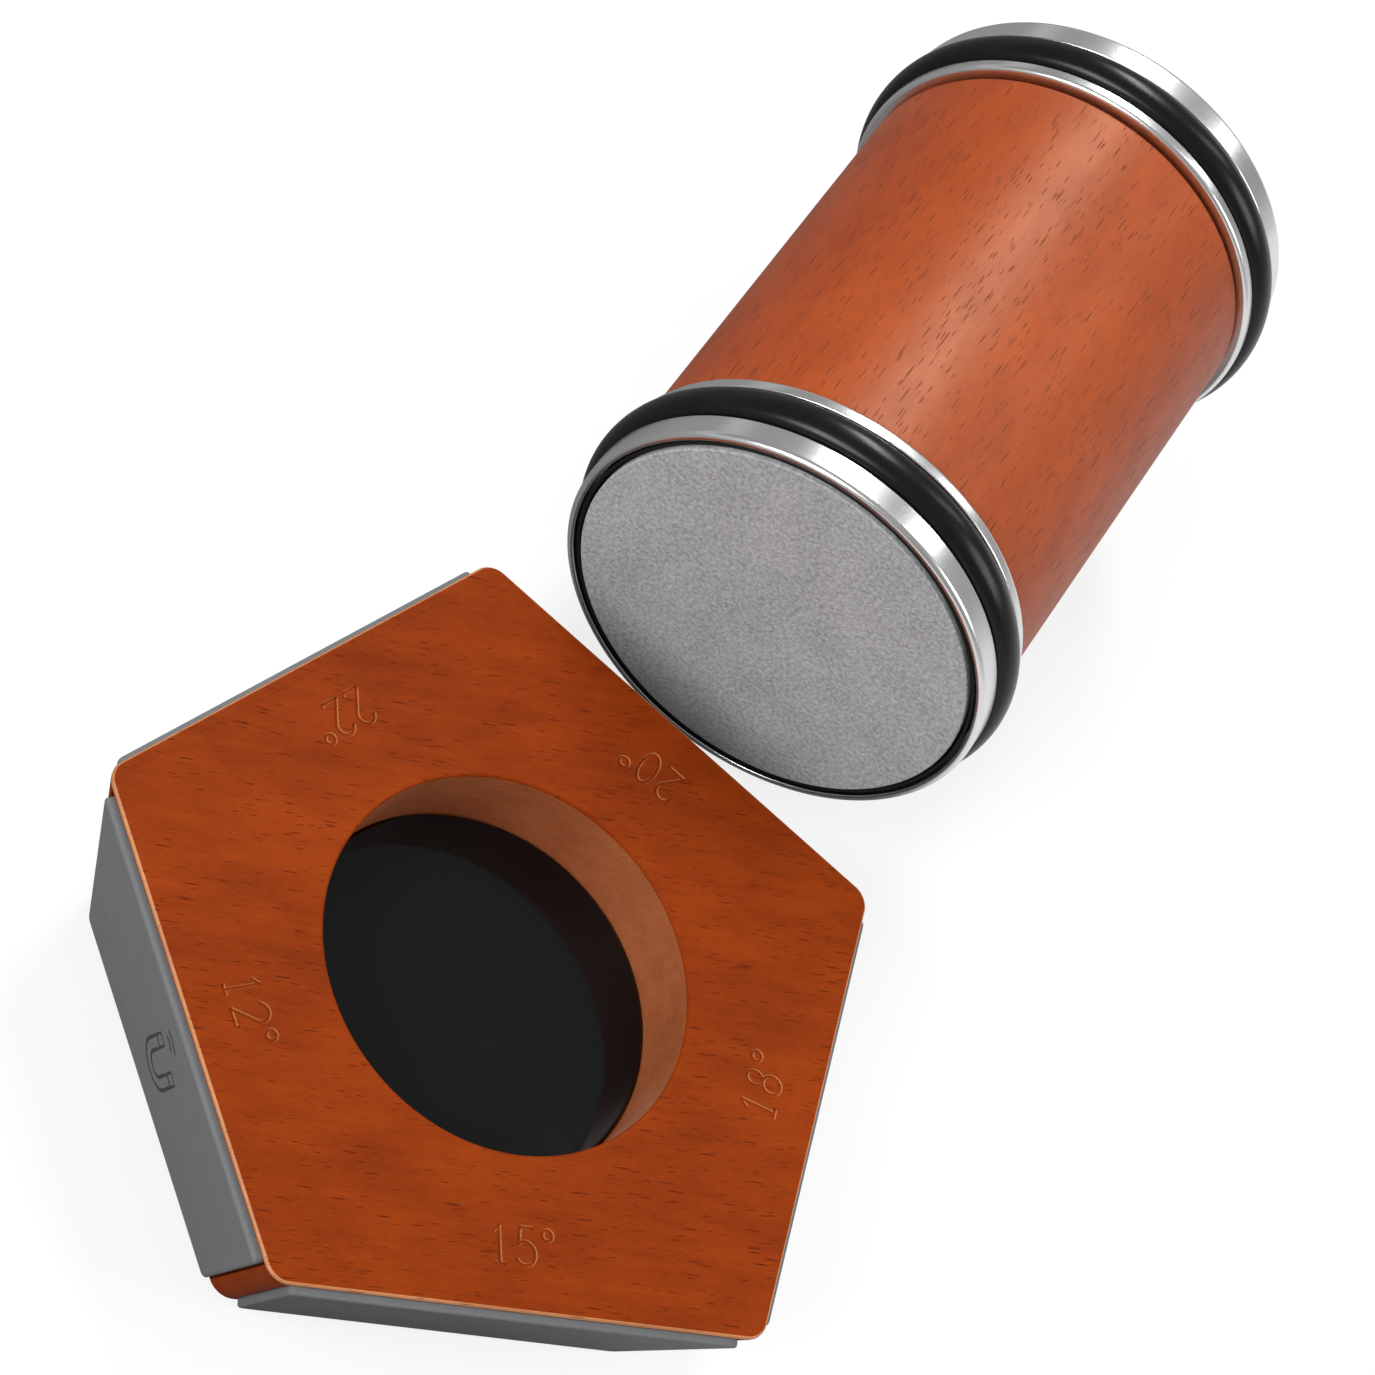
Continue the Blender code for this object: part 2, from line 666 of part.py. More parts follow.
def inner_ring_profile():
    """A bearing's inner ring, with the balls' raceway round it."""
    bore = BEARING_BORE / 2
    land = ball_circle_radius - land_offset
    swing = math.degrees(math.acos(land_offset / raceway_radius))
    raceway = arc((ball_circle_radius, bearing_middle), raceway_radius, 180 - swing, 180 + swing,
                  RACEWAY_STEPS)
    return [
        (bore, bearing_face),
        (land, bearing_face),
        *raceway,
        (land, bearing_back),
        (bore, bearing_back),
    ]


def cage_profile():
    """The ring that keeps a bearing's balls apart, before its pockets are cut."""
    inside = ball_circle_radius - CAGE_WALL / 2
    outside = ball_circle_radius + CAGE_WALL / 2
    top = bearing_middle + CAGE_WIDTH / 2
    bottom = bearing_middle - CAGE_WIDTH / 2
    return [(inside, top), (outside, top), (outside, bottom), (inside, bottom)]


def ball_matrices():
    """A frame at the middle of each ball, with Z pointing away from the axle."""
    frames = []
    for i in range(BALL_COUNT):
        turn = Matrix.Rotation(i * math.tau / BALL_COUNT, 4, "Z")
        lay = Matrix.Rotation(math.pi / 2, 4, "Y")
        frames.append(turn @ Matrix.Translation((ball_circle_radius, 0, bearing_middle)) @ lay)
    return frames


def ball_mesh():
    """One bearing ball, about its own middle."""
    bm = bmesh.new()
    bmesh.ops.create_uvsphere(bm, u_segments=BALL_SEGMENTS, v_segments=BALL_RINGS,
                              radius=ball_radius)
    return mesh_from("bearing_ball", bm)


def cage_pockets_mesh():
    """The pockets of a cage: one short cylinder through its wall at each ball."""
    bm = bmesh.new()
    for frame in ball_matrices():
        bmesh.ops.create_cone(bm, cap_ends=True, segments=CAGE_POCKET_SEGMENTS, radius1=raceway_radius,
                              radius2=raceway_radius, depth=CAGE_WALL + CUT_OVERRUN, matrix=frame)
    return mesh_from("cage_pockets", bm)


def screw_socket_mesh():
    """The hexagon socket in a screw's head."""
    return cylinder_mesh("screw_socket", SCREW_SOCKET_SIZE / math.sqrt(3),
                         screw_head_face - SCREW_SOCKET_DEPTH, screw_head_face + CUT_OVERRUN, 6)


def build_end(name, end, plate_profile, plate_finish, parts, cutters):
    """The wheel, tyre, plate, screw and bearing at one end of the roller."""
    add_turned(f"{name}_wheel", wheel_profile(), WIDE_STEPS, parts, POLISHED_STEEL, end)
    add_turned(f"{name}_tyre", tyre_profile(), WIDE_STEPS, parts, RUBBER, end)
    add_turned(f"{name}_magnet_cup", cup_profile(), WIDE_STEPS, parts, MAGNET_RUBBER, end, closed=False)
    add_turned(f"{name}_plate", plate_profile, WIDE_STEPS, parts, plate_finish, end, closed=False)
    screw = add_turned(f"{name}_wheel_screw", screw_profile(), NARROW_STEPS, parts, BEARING_STEEL, end,
                       closed=False)
    socket = add_object(f"{name}_screw_socket", screw_socket_mesh(), cutters, parent=end)
    subtract(screw, hide_cutter(socket))

    add_turned(f"{name}_bearing_outer_ring", outer_ring_profile(), MIDDLE_STEPS, parts, BEARING_STEEL, end)
    add_turned(f"{name}_bearing_inner_ring", inner_ring_profile(), NARROW_STEPS, parts, BEARING_STEEL, end)
    for count, frame in enumerate(ball_matrices(), 1):
        ball = add_object(f"{name}_bearing_ball_{count}", ball_mesh(), parts, BEARING_STEEL, end)
        ball.matrix_basis = frame
    cage = add_turned(f"{name}_bearing_cage", cage_profile(), MIDDLE_STEPS, parts, BRASS, end)
    pockets = add_object(f"{name}_cage_pockets", cage_pockets_mesh(), cutters, parent=end)
    subtract(cage, hide_cutter(pockets))


def build_roller(parts, cutters):
    """The roller, about an axis along Y, with its diamond end towards the block."""
    lay_along_y = Matrix.Translation(roller_middle) @ Matrix.Rotation(-math.pi / 2, 4, "X")
    axis = add_empty("roller_axis", parts, lay_along_y)
    honing_end = add_empty("honing_end", parts, Matrix.Identity(4), axis)
    diamond_end = add_empty("diamond_end", parts, Matrix.Rotation(math.pi, 4, "X"), axis)
    add_turned("grip_barrel", barrel_profile(), WIDE_STEPS, parts, WOOD, axis)
    add_turned("axle", axle_profile(), NARROW_STEPS, parts, BEARING_STEEL, axis, closed=False)
    add_turned("spacer_tube", spacer_profile(), NARROW_STEPS, parts, BEARING_STEEL, axis)
    build_end("diamond", diamond_end, diamond_plate_profile(), DIAMOND, parts, cutters)
    build_end("honing", honing_end, honing_plate_profile(), HONING_STEEL, parts, cutters)


def main():
    """Build the whole sharpener."""
    clear_scene()
    parts = new_collection("rolling_knife_sharpener")
    cutters = new_collection("cutters")
    build_block(parts, cutters)
    build_roller(parts, cutters)


main()
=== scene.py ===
"""Rolling knife sharpener: the finished look of its block and roller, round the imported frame.

The angle block is a five-sided piece of stained beech with a round recess, a padded side for each
blade angle and a ribbed foot. The roller is a beech grip between two polished steel wheels with
rubber tyres. One wheel holds a diamond plate and the other a grooved honing plate. Sizes are in
metres, in the frame's own axes: Z up, Y from the block to the roller along its axle.
"""

from __future__ import annotations

import json
import logging
import math
from collections.abc import Callable, Sequence
from dataclasses import dataclass, field
from enum import Enum

import bmesh
import bpy
from mathutils import Matrix, Vector

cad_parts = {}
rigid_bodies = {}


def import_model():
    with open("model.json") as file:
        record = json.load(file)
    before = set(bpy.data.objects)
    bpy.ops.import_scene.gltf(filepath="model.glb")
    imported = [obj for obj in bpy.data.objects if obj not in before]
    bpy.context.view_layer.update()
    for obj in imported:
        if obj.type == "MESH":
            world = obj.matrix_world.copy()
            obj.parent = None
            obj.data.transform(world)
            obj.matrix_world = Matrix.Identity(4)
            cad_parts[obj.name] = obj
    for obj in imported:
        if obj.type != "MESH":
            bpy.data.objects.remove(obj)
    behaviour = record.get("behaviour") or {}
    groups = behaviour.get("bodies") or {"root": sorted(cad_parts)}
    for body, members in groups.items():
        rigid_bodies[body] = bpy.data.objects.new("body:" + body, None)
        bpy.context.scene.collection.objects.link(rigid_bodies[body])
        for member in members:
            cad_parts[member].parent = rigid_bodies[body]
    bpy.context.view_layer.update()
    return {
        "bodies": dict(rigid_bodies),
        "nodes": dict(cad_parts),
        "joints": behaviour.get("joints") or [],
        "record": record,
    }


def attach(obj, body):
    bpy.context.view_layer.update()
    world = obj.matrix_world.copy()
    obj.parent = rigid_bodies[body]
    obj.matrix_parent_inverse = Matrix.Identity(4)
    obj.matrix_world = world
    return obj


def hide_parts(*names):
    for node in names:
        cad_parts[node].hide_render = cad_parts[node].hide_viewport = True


LOG = logging.getLogger("knife_sharpener")

MM = 0.001
MERGE_DISTANCE = 0.001 * MM
CUT_OVERRUN = 2.0 * MM
SMOOTH_ANGLE = math.radians(32)
SHARP_ANGLE = math.radians(40)
PHOTO_SIZE = 1375
SENSOR_WIDTH = 36.0
WHITE = (1.0, 1.0, 1.0, 1.0)

Pair = tuple[float, float]
Triple = tuple[float, float, float]
Colour = Triple


class Side(Enum):
    """The block's five sides by their blade angles in degrees, in order round the block."""

    TWENTY = 20
    TWENTY_TWO = 22
    TWELVE = 12
    FIFTEEN = 15
    EIGHTEEN = 18

    @property
    def place(self) -> int:
        """The side's number round the block, starting from the one that faces the roller."""
        return list(Side).index(self)


class WheelEnd(Enum):
    """The roller's two ends, by which way each faces along Y."""

    DIAMOND = -1
    HONING = 1

    @property
    def label(self) -> str:
        """The end's name as the frame writes it."""
        return self.name.lower()


# Hand tools


def deselect_all() -> None:
    """Leave edit mode and select nothing."""
    if bpy.context.object and bpy.context.object.mode != "OBJECT":
        bpy.ops.object.mode_set(mode="OBJECT")
    bpy.ops.object.select_all(action="DESELECT")


def pick(piece: bpy.types.Object) -> None:
    """Select one object alone and make it active.

    Args:
        piece: The object to work on.
    """
    deselect_all()
    piece.select_set(True)
    bpy.context.view_layer.objects.active = piece


def settle(piece: bpy.types.Object) -> None:
    """Move a piece's place, turn and size into its mesh, so that its object sits at the origin.

    Args:
        piece: The object to settle.
    """
    pick(piece)
    bpy.ops.object.transform_apply(location=True, rotation=True, scale=True)


def apply_modifiers(piece: bpy.types.Object) -> None:
    """Apply every modifier of a piece, in order.

    Args:
        piece: The object whose modifiers become mesh.
    """
    pick(piece)
    for modifier in list(piece.modifiers):
        bpy.ops.object.modifier_apply(modifier=modifier.name)


def edit(piece: bpy.types.Object, mode: str = "FACE") -> bmesh.types.BMesh:
    """Open a piece in edit mode with nothing selected.

    Args:
        piece: The object to edit.
        mode: What is to be selected: VERT, EDGE or FACE.

    Returns:
        The mesh being edited.
    """
    pick(piece)
    bpy.ops.object.mode_set(mode="EDIT")
    bpy.ops.mesh.select_mode(type=mode)
    bpy.ops.mesh.select_all(action="DESELECT")
    return bmesh.from_edit_mesh(piece.data)


def bevel_edges(piece: bpy.types.Object, chosen: Callable[[bmesh.types.BMEdge], bool],
                width: float, segments: int) -> None:
    """Round the edges of a piece that pass a test.

    Args:
        piece: The object to round.
        chosen: Says whether an edge is rounded.
        width: The bevel's width.
        segments: How many faces make the round.
    """
    mesh = edit(piece, "EDGE")
    for edge in mesh.edges:
        edge.select_set(chosen(edge))
    bmesh.update_edit_mesh(piece.data)
    bpy.ops.mesh.bevel(offset=width, segments=segments, profile=0.5, affect="EDGES",
                       clamp_overlap=True)
    bpy.ops.object.mode_set(mode="OBJECT")


def sharp(edge: bmesh.types.BMEdge) -> bool:
    """Whether two faces meet at an edge at more than SHARP_ANGLE."""
    return len(edge.link_faces) == 2 and edge.calc_face_angle(0) > SHARP_ANGLE


def climb(edge: bmesh.types.BMEdge) -> float:
    """How much higher one end of an edge is than the other."""
    return abs(edge.verts[0].co.z - edge.verts[1].co.z)


def direction(edge: bmesh.types.BMEdge) -> Vector:
    """The way an edge runs."""
    return (edge.verts[1].co - edge.verts[0].co).normalized()


def add_object(name: str, data: bpy.types.ID) -> bpy.types.Object:
    """Add an object with this data to the scene."""
    added = bpy.data.objects.new(name, data)
    bpy.context.scene.collection.objects.link(added)
    return added


def draw_line(name: str, points: Sequence[Vector]) -> bpy.types.Object:
    """Draw a line by extruding one vertex from point to point. Edit mode stays open.

    Args:
        name: The new object's name.
        points: The line's points, in metres.

    Returns:
        The new object.
    """
    deselect_all()
    bpy.ops.mesh.primitive_plane_add(size=MM, location=points[0])
    piece = bpy.context.active_object
    piece.name = name
    piece.data.name = name
    bpy.ops.object.mode_set(mode="EDIT")
    bpy.ops.mesh.select_mode(type="VERT")
    bpy.ops.mesh.select_all(action="SELECT")
    bpy.ops.mesh.merge(type="CENTER")
    for start, end in zip(points, points[1:]):
        bpy.ops.mesh.extrude_vertices_move(TRANSFORM_OT_translate={"value": end - start})
    return piece


def close_up(piece: bpy.types.Object) -> None:
    """Merge doubles, turn the faces outwards, leave edit mode and settle the piece.

    Args:
        piece: The object being edited.
    """
    bpy.ops.mesh.select_all(action="SELECT")
    bpy.ops.mesh.remove_doubles(threshold=MERGE_DISTANCE)
    bpy.ops.mesh.normals_make_consistent(inside=False)
    bpy.ops.object.mode_set(mode="OBJECT")
    settle(piece)


def turn_on_lathe(name: str, points: Sequence[Vector], centre: Vector, axis: Vector,
                  steps: int) -> bpy.types.Object:
    """Spin a drawn profile once round an axis.

    Args:
        name: The new object's name.
        points: The profile, which starts and ends on the axis, or where it started.
        centre: A point on the axis.
        axis: The axis's direction.
        steps: How many faces go round.

    Returns:
        The turned piece.
    """
    piece = draw_line(name, points)
    bpy.ops.mesh.select_all(action="SELECT")
    bpy.ops.mesh.spin(steps=steps, angle=math.tau, center=centre, axis=axis)
    close_up(piece)
    return piece


def cut_slab(name: str, corners: Sequence[Vector], depth: Vector) -> bpy.types.Object:
    """A slab with straight sides, drawn as an outline, filled and extruded.

    Args:
        name: The new object's name.
        corners: The outline's corners.
        depth: The way and distance that it is extruded.

    Returns:
        The slab.
    """
    piece = draw_line(name, corners)
    bpy.ops.mesh.select_all(action="SELECT")
    bpy.ops.mesh.edge_face_add()
    bpy.ops.mesh.extrude_region_move(TRANSFORM_OT_translate={"value": depth})
    close_up(piece)
    return piece


def join(pieces: Sequence[bpy.types.Object], name: str) -> bpy.types.Object:
    """Join several objects in one.

    Args:
        pieces: The objects to join.
        name: The joined object's name.

    Returns:
        The joined object.
    """
    pick(pieces[0])
    for piece in pieces[1:]:
        piece.select_set(True)
    if len(pieces) > 1:
        bpy.ops.object.join()
    pieces[0].name = name
    return pieces[0]


def cut_away(piece: bpy.types.Object, cutter: bpy.types.Object, crossing: bool = False) -> None:
    """Cut one shape out of a piece and throw the cutter away.

    Args:
        piece: The piece that is cut.
        cutter: The shape that is taken out.
        crossing: Whether parts of the cutter run through each other.
    """
    boolean = piece.modifiers.new(cutter.name, "BOOLEAN")
    boolean.operation = "DIFFERENCE"
    boolean.solver = "EXACT"
    boolean.use_self = crossing
    boolean.object = cutter
    apply_modifiers(piece)
    bpy.data.objects.remove(cutter, do_unlink=True)


def drop_slivers(piece: bpy.types.Object) -> None:
    """Dissolve the faces and edges without any size that cutting leaves in a piece.

    Args:
        piece: The piece that was cut.
    """
    edit(piece)
    bpy.ops.mesh.select_all(action="SELECT")
    bpy.ops.mesh.dissolve_degenerate(threshold=MERGE_DISTANCE)
    bpy.ops.object.mode_set(mode="OBJECT")


def shade(piece: bpy.types.Object, weighted: bool = False) -> None:
    """Shade a piece smooth but for its sharp corners.

    Args:
        piece: The finished mesh.
        weighted: Whether large flat faces keep their own shading beside small round ones.
    """
    pick(piece)
    bpy.ops.object.shade_smooth_by_angle(angle=SMOOTH_ANGLE)
    if weighted:
        normals = piece.modifiers.new("flat_faces", "WEIGHTED_NORMAL")
        normals.keep_sharp = True
        apply_modifiers(piece)


def bow(centre: Pair, wide: float, high: float, start: float, end: float,
        steps: int) -> list[Pair]:
    """Points on part of an ellipse.

    Args:
        centre: The ellipse's centre.
        wide: Its first radius.
        high: Its second radius.
        start: The first angle, in degrees.
        end: The last angle, in degrees.
        steps: How many pieces the line has.

    Returns:
        The points, first and last included.
    """
    angles = [math.radians(start + (end - start) * i / steps) for i in range(steps + 1)]
    return [(centre[0] + wide * math.cos(a), centre[1] + high * math.sin(a)) for a in angles]


def arc(centre: Pair, radius: float, start: float, end: float, steps: int) -> list[Pair]:
    """Points on part of a circle, given as for bow."""
    return bow(centre, radius, radius, start, end, steps)


def line_crossing(first: Vector, second: Vector) -> Vector:
    """Where two lines cross in a plane.

    Args:
        first: A line as normal x, normal y and distance.
        second: The other line, written the same way.

    Returns:
        The crossing.
    """
    scale = first.x * second.y - first.y * second.x
    return Vector(((first.z * second.y - first.y * second.z) / scale,
                   (first.x * second.z - first.z * second.x) / scale))


def middle_of(corners: Sequence[Vector]) -> Vector:
    """The middle of an outline's corners."""
    return sum(corners, Vector((0, 0))) / len(corners)


def inset_outline(corners: Sequence[Vector], margins: Sequence[float]) -> list[Vector]:
    """Move each edge of an outline inwards by its own margin.

    Args:
        corners: The corners of a convex outline.
        margins: A margin for the edge that starts at each corner.

    Returns:
        The new corners.
    """
    middle = middle_of(corners)
    lines = []
    for i, corner in enumerate(corners):
        run = (corners[(i + 1) % len(corners)] - corner).normalized()
        normal = Vector((run.y, -run.x))
        if normal.dot(middle - corner) > 0:
            normal.negate()
        lines.append(Vector((normal.x, normal.y, normal.dot(corner) - margins[i])))
    return [line_crossing(lines[i - 1], lines[i]) for i in range(len(corners))]


# Shared effects, each a node group


class NodeBench:
    """Adds and joins the nodes of one tree."""

    def __init__(self, tree: bpy.types.NodeTree) -> None:
        """Start on a tree.

        Args:
            tree: The node tree of a group or a material.
        """
        self.tree = tree

    def link(self, source: bpy.types.NodeSocket, target: bpy.types.NodeSocket) -> None:
        """Join an output to an input."""
        self.tree.links.new(source, target)

    def feed(self, node: bpy.types.Node, inputs: dict[str | int, object]) -> None:
        """Set a node's inputs.

        Args:
            node: The node.
            inputs: A number, colour or output for each named input.
        """
        for name, value in inputs.items():
            if isinstance(value, bpy.types.NodeSocket):
                self.link(value, node.inputs[name])
            else:
                node.inputs[name].default_value = value

    def add(self, kind: str, inputs: dict[str | int, object] | None = None,
            **settings: object) -> bpy.types.Node:
        """Add a node.

        Args:
            kind: The node's type.
            inputs: A number, colour or output for each named input.
            **settings: Other properties of the node.

        Returns:
            The new node.
        """
        node = self.tree.nodes.new(kind)
        for name, value in settings.items():
            setattr(node, name, value)
        self.feed(node, inputs or {})
        return node

    def math(self, operation: str, *values: object) -> bpy.types.NodeSocket:
        """A Math node's result.

        Args:
            operation: The operation's name.
            *values: Numbers or outputs, in order.

        Returns:
            The result.
        """
        return self.add("ShaderNodeMath", dict(enumerate(values)), operation=operation).outputs[0]

    def total(self, *parts: tuple[bpy.types.NodeSocket, float]) -> bpy.types.NodeSocket:
        """The sum of values, each times its own weight.

        Args:
            *parts: Each value with its weight.

        Returns:
            The sum.
        """
        products = [self.math("MULTIPLY", value, weight) for value, weight in parts]
        result = products[0]
        for product in products[1:]:
            result = self.math("ADD", result, product)
        return result

    def vector(self, operation: str, first: object, second: object = None) -> bpy.types.NodeSocket:
        """A Vector Math node's result.

        Args:
            operation: The operation's name.
            first: The first vector.
            second: The second vector, or the number that SCALE takes.

        Returns:
            The result.
        """
        inputs = {0: first}
        if second is not None:
            inputs["Scale" if operation == "SCALE" else 1] = second
        return self.add("ShaderNodeVectorMath", inputs, operation=operation).outputs[0]

    def ramp(self, value: bpy.types.NodeSocket, low: float, high: float, to_low: float = 0.0,
             to_high: float = 1.0) -> bpy.types.NodeSocket:
        """A value carried smoothly from one range to another.

        Args:
            value: The value.
            low: Where it starts.
            high: Where it ends.
            to_low: What the start becomes.
            to_high: What the end becomes.

        Returns:
            The new value.
        """
        node = self.add("ShaderNodeMapRange", {"Value": value, "From Min": low, "From Max": high,
                                               "To Min": to_low, "To Max": to_high},
                        interpolation_type="SMOOTHSTEP")
        return node.outputs["Result"]

    def blend(self, share: object, first: object, second: object) -> bpy.types.NodeSocket:
        """Two colours mixed.

        Args:
            share: How much of the second colour shows.
            first: The first colour.
            second: The second colour.

        Returns:
            The mixed colour.
        """
        node = self.add("ShaderNodeMix", {0: share, 6: first, 7: second}, data_type="RGBA")
        return node.outputs[2]

    def noise(self, vector: bpy.types.NodeSocket, scale: float, detail: float = 3.0,
              roughness: float = 0.5) -> bpy.types.NodeSocket:
        """A noise value.

        Args:
            vector: Where it is read.
            scale: Its scale.
            detail: Its detail.
            roughness: How strong the detail is.

        Returns:
            The value, about 0.5 on average.
        """
        return self.add("ShaderNodeTexNoise", {"Vector": vector, "Scale": scale, "Detail": detail,
                                               "Roughness": roughness}).outputs["Fac"]

    def stretched(self, vector: bpy.types.NodeSocket, scale: Triple,
                  shift: Triple = (0.0, 0.0, 0.0)) -> bpy.types.NodeSocket:
        """A vector scaled by axis, then moved.

        Args:
            vector: The vector.
            scale: The scale along each axis.
            shift: What is added.

        Returns:
            The new vector.
        """
        return self.add("ShaderNodeMapping", {"Vector": vector, "Scale": scale,
                                              "Location": shift}).outputs[0]

    def bump(self, height: bpy.types.NodeSocket, distance: float,
             strength: float = 1.0) -> bpy.types.NodeSocket:
        """A bump for a shader's normal.

        Args:
            height: The height's output.
            distance: How deep it is, in metres.
            strength: How strongly it shows.

        Returns:
            The normal.
        """
        return self.add("ShaderNodeBump", {"Height": height, "Distance": distance,
                                           "Strength": strength}).outputs[0]


class EffectBench(NodeBench):
    """The bench of a shader node group, with what the group is given."""

    def __init__(self, name: str, inputs: dict[str, object]) -> None:
        """Start a group.

        Args:
            name: The group's name.
            inputs: Each input's first value: a number, a colour, or None for a vector.
        """
        super().__init__(bpy.data.node_groups.new(name, "ShaderNodeTree"))
        for label, value in inputs.items():
            kind = "Vector" if value is None else "Float" if isinstance(value, float) else "Color"
            socket = self.tree.interface.new_socket(name=label, in_out="INPUT",
                                                    socket_type="NodeSocket" + kind)
            if value is not None:
                socket.default_value = value
        self.given = self.add("NodeGroupInput").outputs

    def give(self, **results: bpy.types.NodeSocket) -> bpy.types.NodeTree:
        """Give the group its outputs: Colour is a colour and all others are numbers.

        Args:
            **results: What each output passes on.

        Returns:
            The finished group.
        """
        for label in results:
            kind = "Color" if label == "Colour" else "Float"
            self.tree.interface.new_socket(name=label, in_out="OUTPUT",
                                           socket_type="NodeSocket" + kind)
        self.add("NodeGroupOutput", results)
        return self.tree


@dataclass(frozen=True)
class FleckLayer:
    """One layer of the beech's short dark flecks, in long cells, with sizes in millimetres.

    Attributes:
        length: A cell's length along the grain.
        width: A cell's width.
        shift: Where the layer starts.
        share: The share of the cells that have a fleck.
    """

    length: float
    width: float
    shift: Triple
    share: float


FLECKS = (FleckLayer(5.6, 0.36, (0.0, 0.0, 0.0), 0.26),
          FleckLayer(3.0, 0.27, (11.3, 4.7, 2.1), 0.26))


class Effects:
    """The node groups that several finishes share, each built once."""

    def __init__(self) -> None:
        """Build all the groups."""
        self.timber = self.timber_figure()
        self.turning = self.turning_lines()
        self.speckle = self.fine_speckle()
        self.handling = self.handling_marks()

    @staticmethod
    def flecks(bench: EffectBench, grain: bpy.types.NodeSocket, wobble: bpy.types.NodeSocket,
               layer: FleckLayer) -> bpy.types.NodeSocket:
        """One layer of flecks: cells in rows that slip past each other, some with a fleck.

        Args:
            bench: The group's bench.
            grain: The place along the grain.
            wobble: What makes a fleck's outline uneven.
            layer: The layer's sizes.

        Returns:
            How much of a fleck shows, from 0 to 1.
        """
        across = 1.0 / layer.width
        laid = bench.stretched(grain, (1.0 / layer.length, across, across), layer.shift)
        scaled = bench.vector("SCALE", laid, bench.math("DIVIDE", 1.0, bench.given["Fleck Size"]))
        rows = bench.vector("MULTIPLY", bench.vector("FLOOR", scaled), (0.0, 1.0, 1.0))
        slip = bench.add("ShaderNodeTexWhiteNoise", {"Vector": rows}, noise_dimensions="3D")
        slip = bench.math("MULTIPLY", slip.outputs["Value"], 9.0)
        slip = bench.add("ShaderNodeCombineXYZ", {0: slip}).outputs[0]
        cells = bench.add("ShaderNodeTexVoronoi", {"Vector": bench.vector("ADD", scaled, slip),
                                                   "Scale": 1.0, "Randomness": 0.9})
        luck = bench.add("ShaderNodeSeparateColor", {0: cells.outputs["Color"]}).outputs[0]
        near = bench.math("ADD", cells.outputs["Distance"], bench.math("MULTIPLY", wobble, 0.16))
        chance = bench.math("MULTIPLY", bench.given["Fleck Share"], layer.share)
        lucky = bench.ramp(bench.math("ADD", luck, chance), 1.0, 1.16)
        return bench.math("MULTIPLY", bench.ramp(near, 0.40, 0.24), lucky)

    @classmethod
    def timber_figure(cls) -> bpy.types.NodeTree:
        """Stained beech: mottled stain, fine streaks and short dark flecks along X, in millimetres.

        Returns:
            The node group.
        """
        bench = EffectBench("timber_figure", {
            "Grain": None, "Stain": WHITE, "Deep Stain": WHITE, "Fleck Stain": WHITE,
            "Fleck Size": 1.0, "Fleck Share": 1.0, "Mottle": 1.0})
        # The grain doesn't run dead straight: it drifts sideways by up to a millimetre or so.
        slow = bench.stretched(bench.given["Grain"], (0.015, 0.04, 0.04))
        meander = bench.add("ShaderNodeTexNoise", {"Vector": slow, "Scale": 1.0, "Detail": 2.0})
        drift = bench.vector("SUBTRACT", meander.outputs["Color"], (0.5, 0.5, 0.5))
        drift = bench.vector("MULTIPLY", drift, (0.0, 1.6, 1.6))
        grain = bench.vector("ADD", bench.given["Grain"], drift)
        patch = bench.noise(bench.stretched(grain, (0.03, 0.05, 0.05)), 1.0, 2.0)
        cloud = bench.stretched(grain, (0.10, 0.24, 0.24), (7.0, 3.0, 5.0))
        cloud = bench.noise(cloud, 1.0, 5.0, 0.62)
        streak = bench.noise(bench.stretched(grain, (0.05, 0.9, 0.9)), 1.0, 4.0, 0.65)
        fibre = bench.noise(bench.stretched(grain, (0.9, 6.0, 6.0)), 1.0, 2.0, 0.6)
        wobble = bench.noise(bench.stretched(grain, (0.5, 2.4, 2.4)), 1.0, 2.0)
        fleck = bench.math("MAXIMUM", *(cls.flecks(bench, grain, wobble, layer)
                                        for layer in FLECKS))
        tone = bench.total((bench.ramp(cloud, 0.26, 0.76), 0.5),
                           (bench.ramp(patch, 0.30, 0.70), 0.34),
                           (bench.ramp(streak, 0.25, 0.75, -0.5, 0.5), 0.22),
                           (bench.ramp(fibre, 0.2, 0.8, -0.5, 0.5), 0.26))
        tone = bench.math("MULTIPLY", tone, bench.given["Mottle"])
        tone = bench.add("ShaderNodeClamp", {"Value": tone}).outputs[0]
        ground = bench.blend(tone, bench.given["Stain"], bench.given["Deep Stain"])
        strength = bench.math("MULTIPLY", fleck, bench.ramp(cloud, 0.3, 0.7, 0.95, 0.6))
        return bench.give(Colour=bench.blend(strength, ground, bench.given["Fleck Stain"]),
                          Height=bench.total((fleck, -1.0), (fibre, 0.2)),
                          Dullness=bench.total((fleck, 0.5), (cloud, 0.5)))

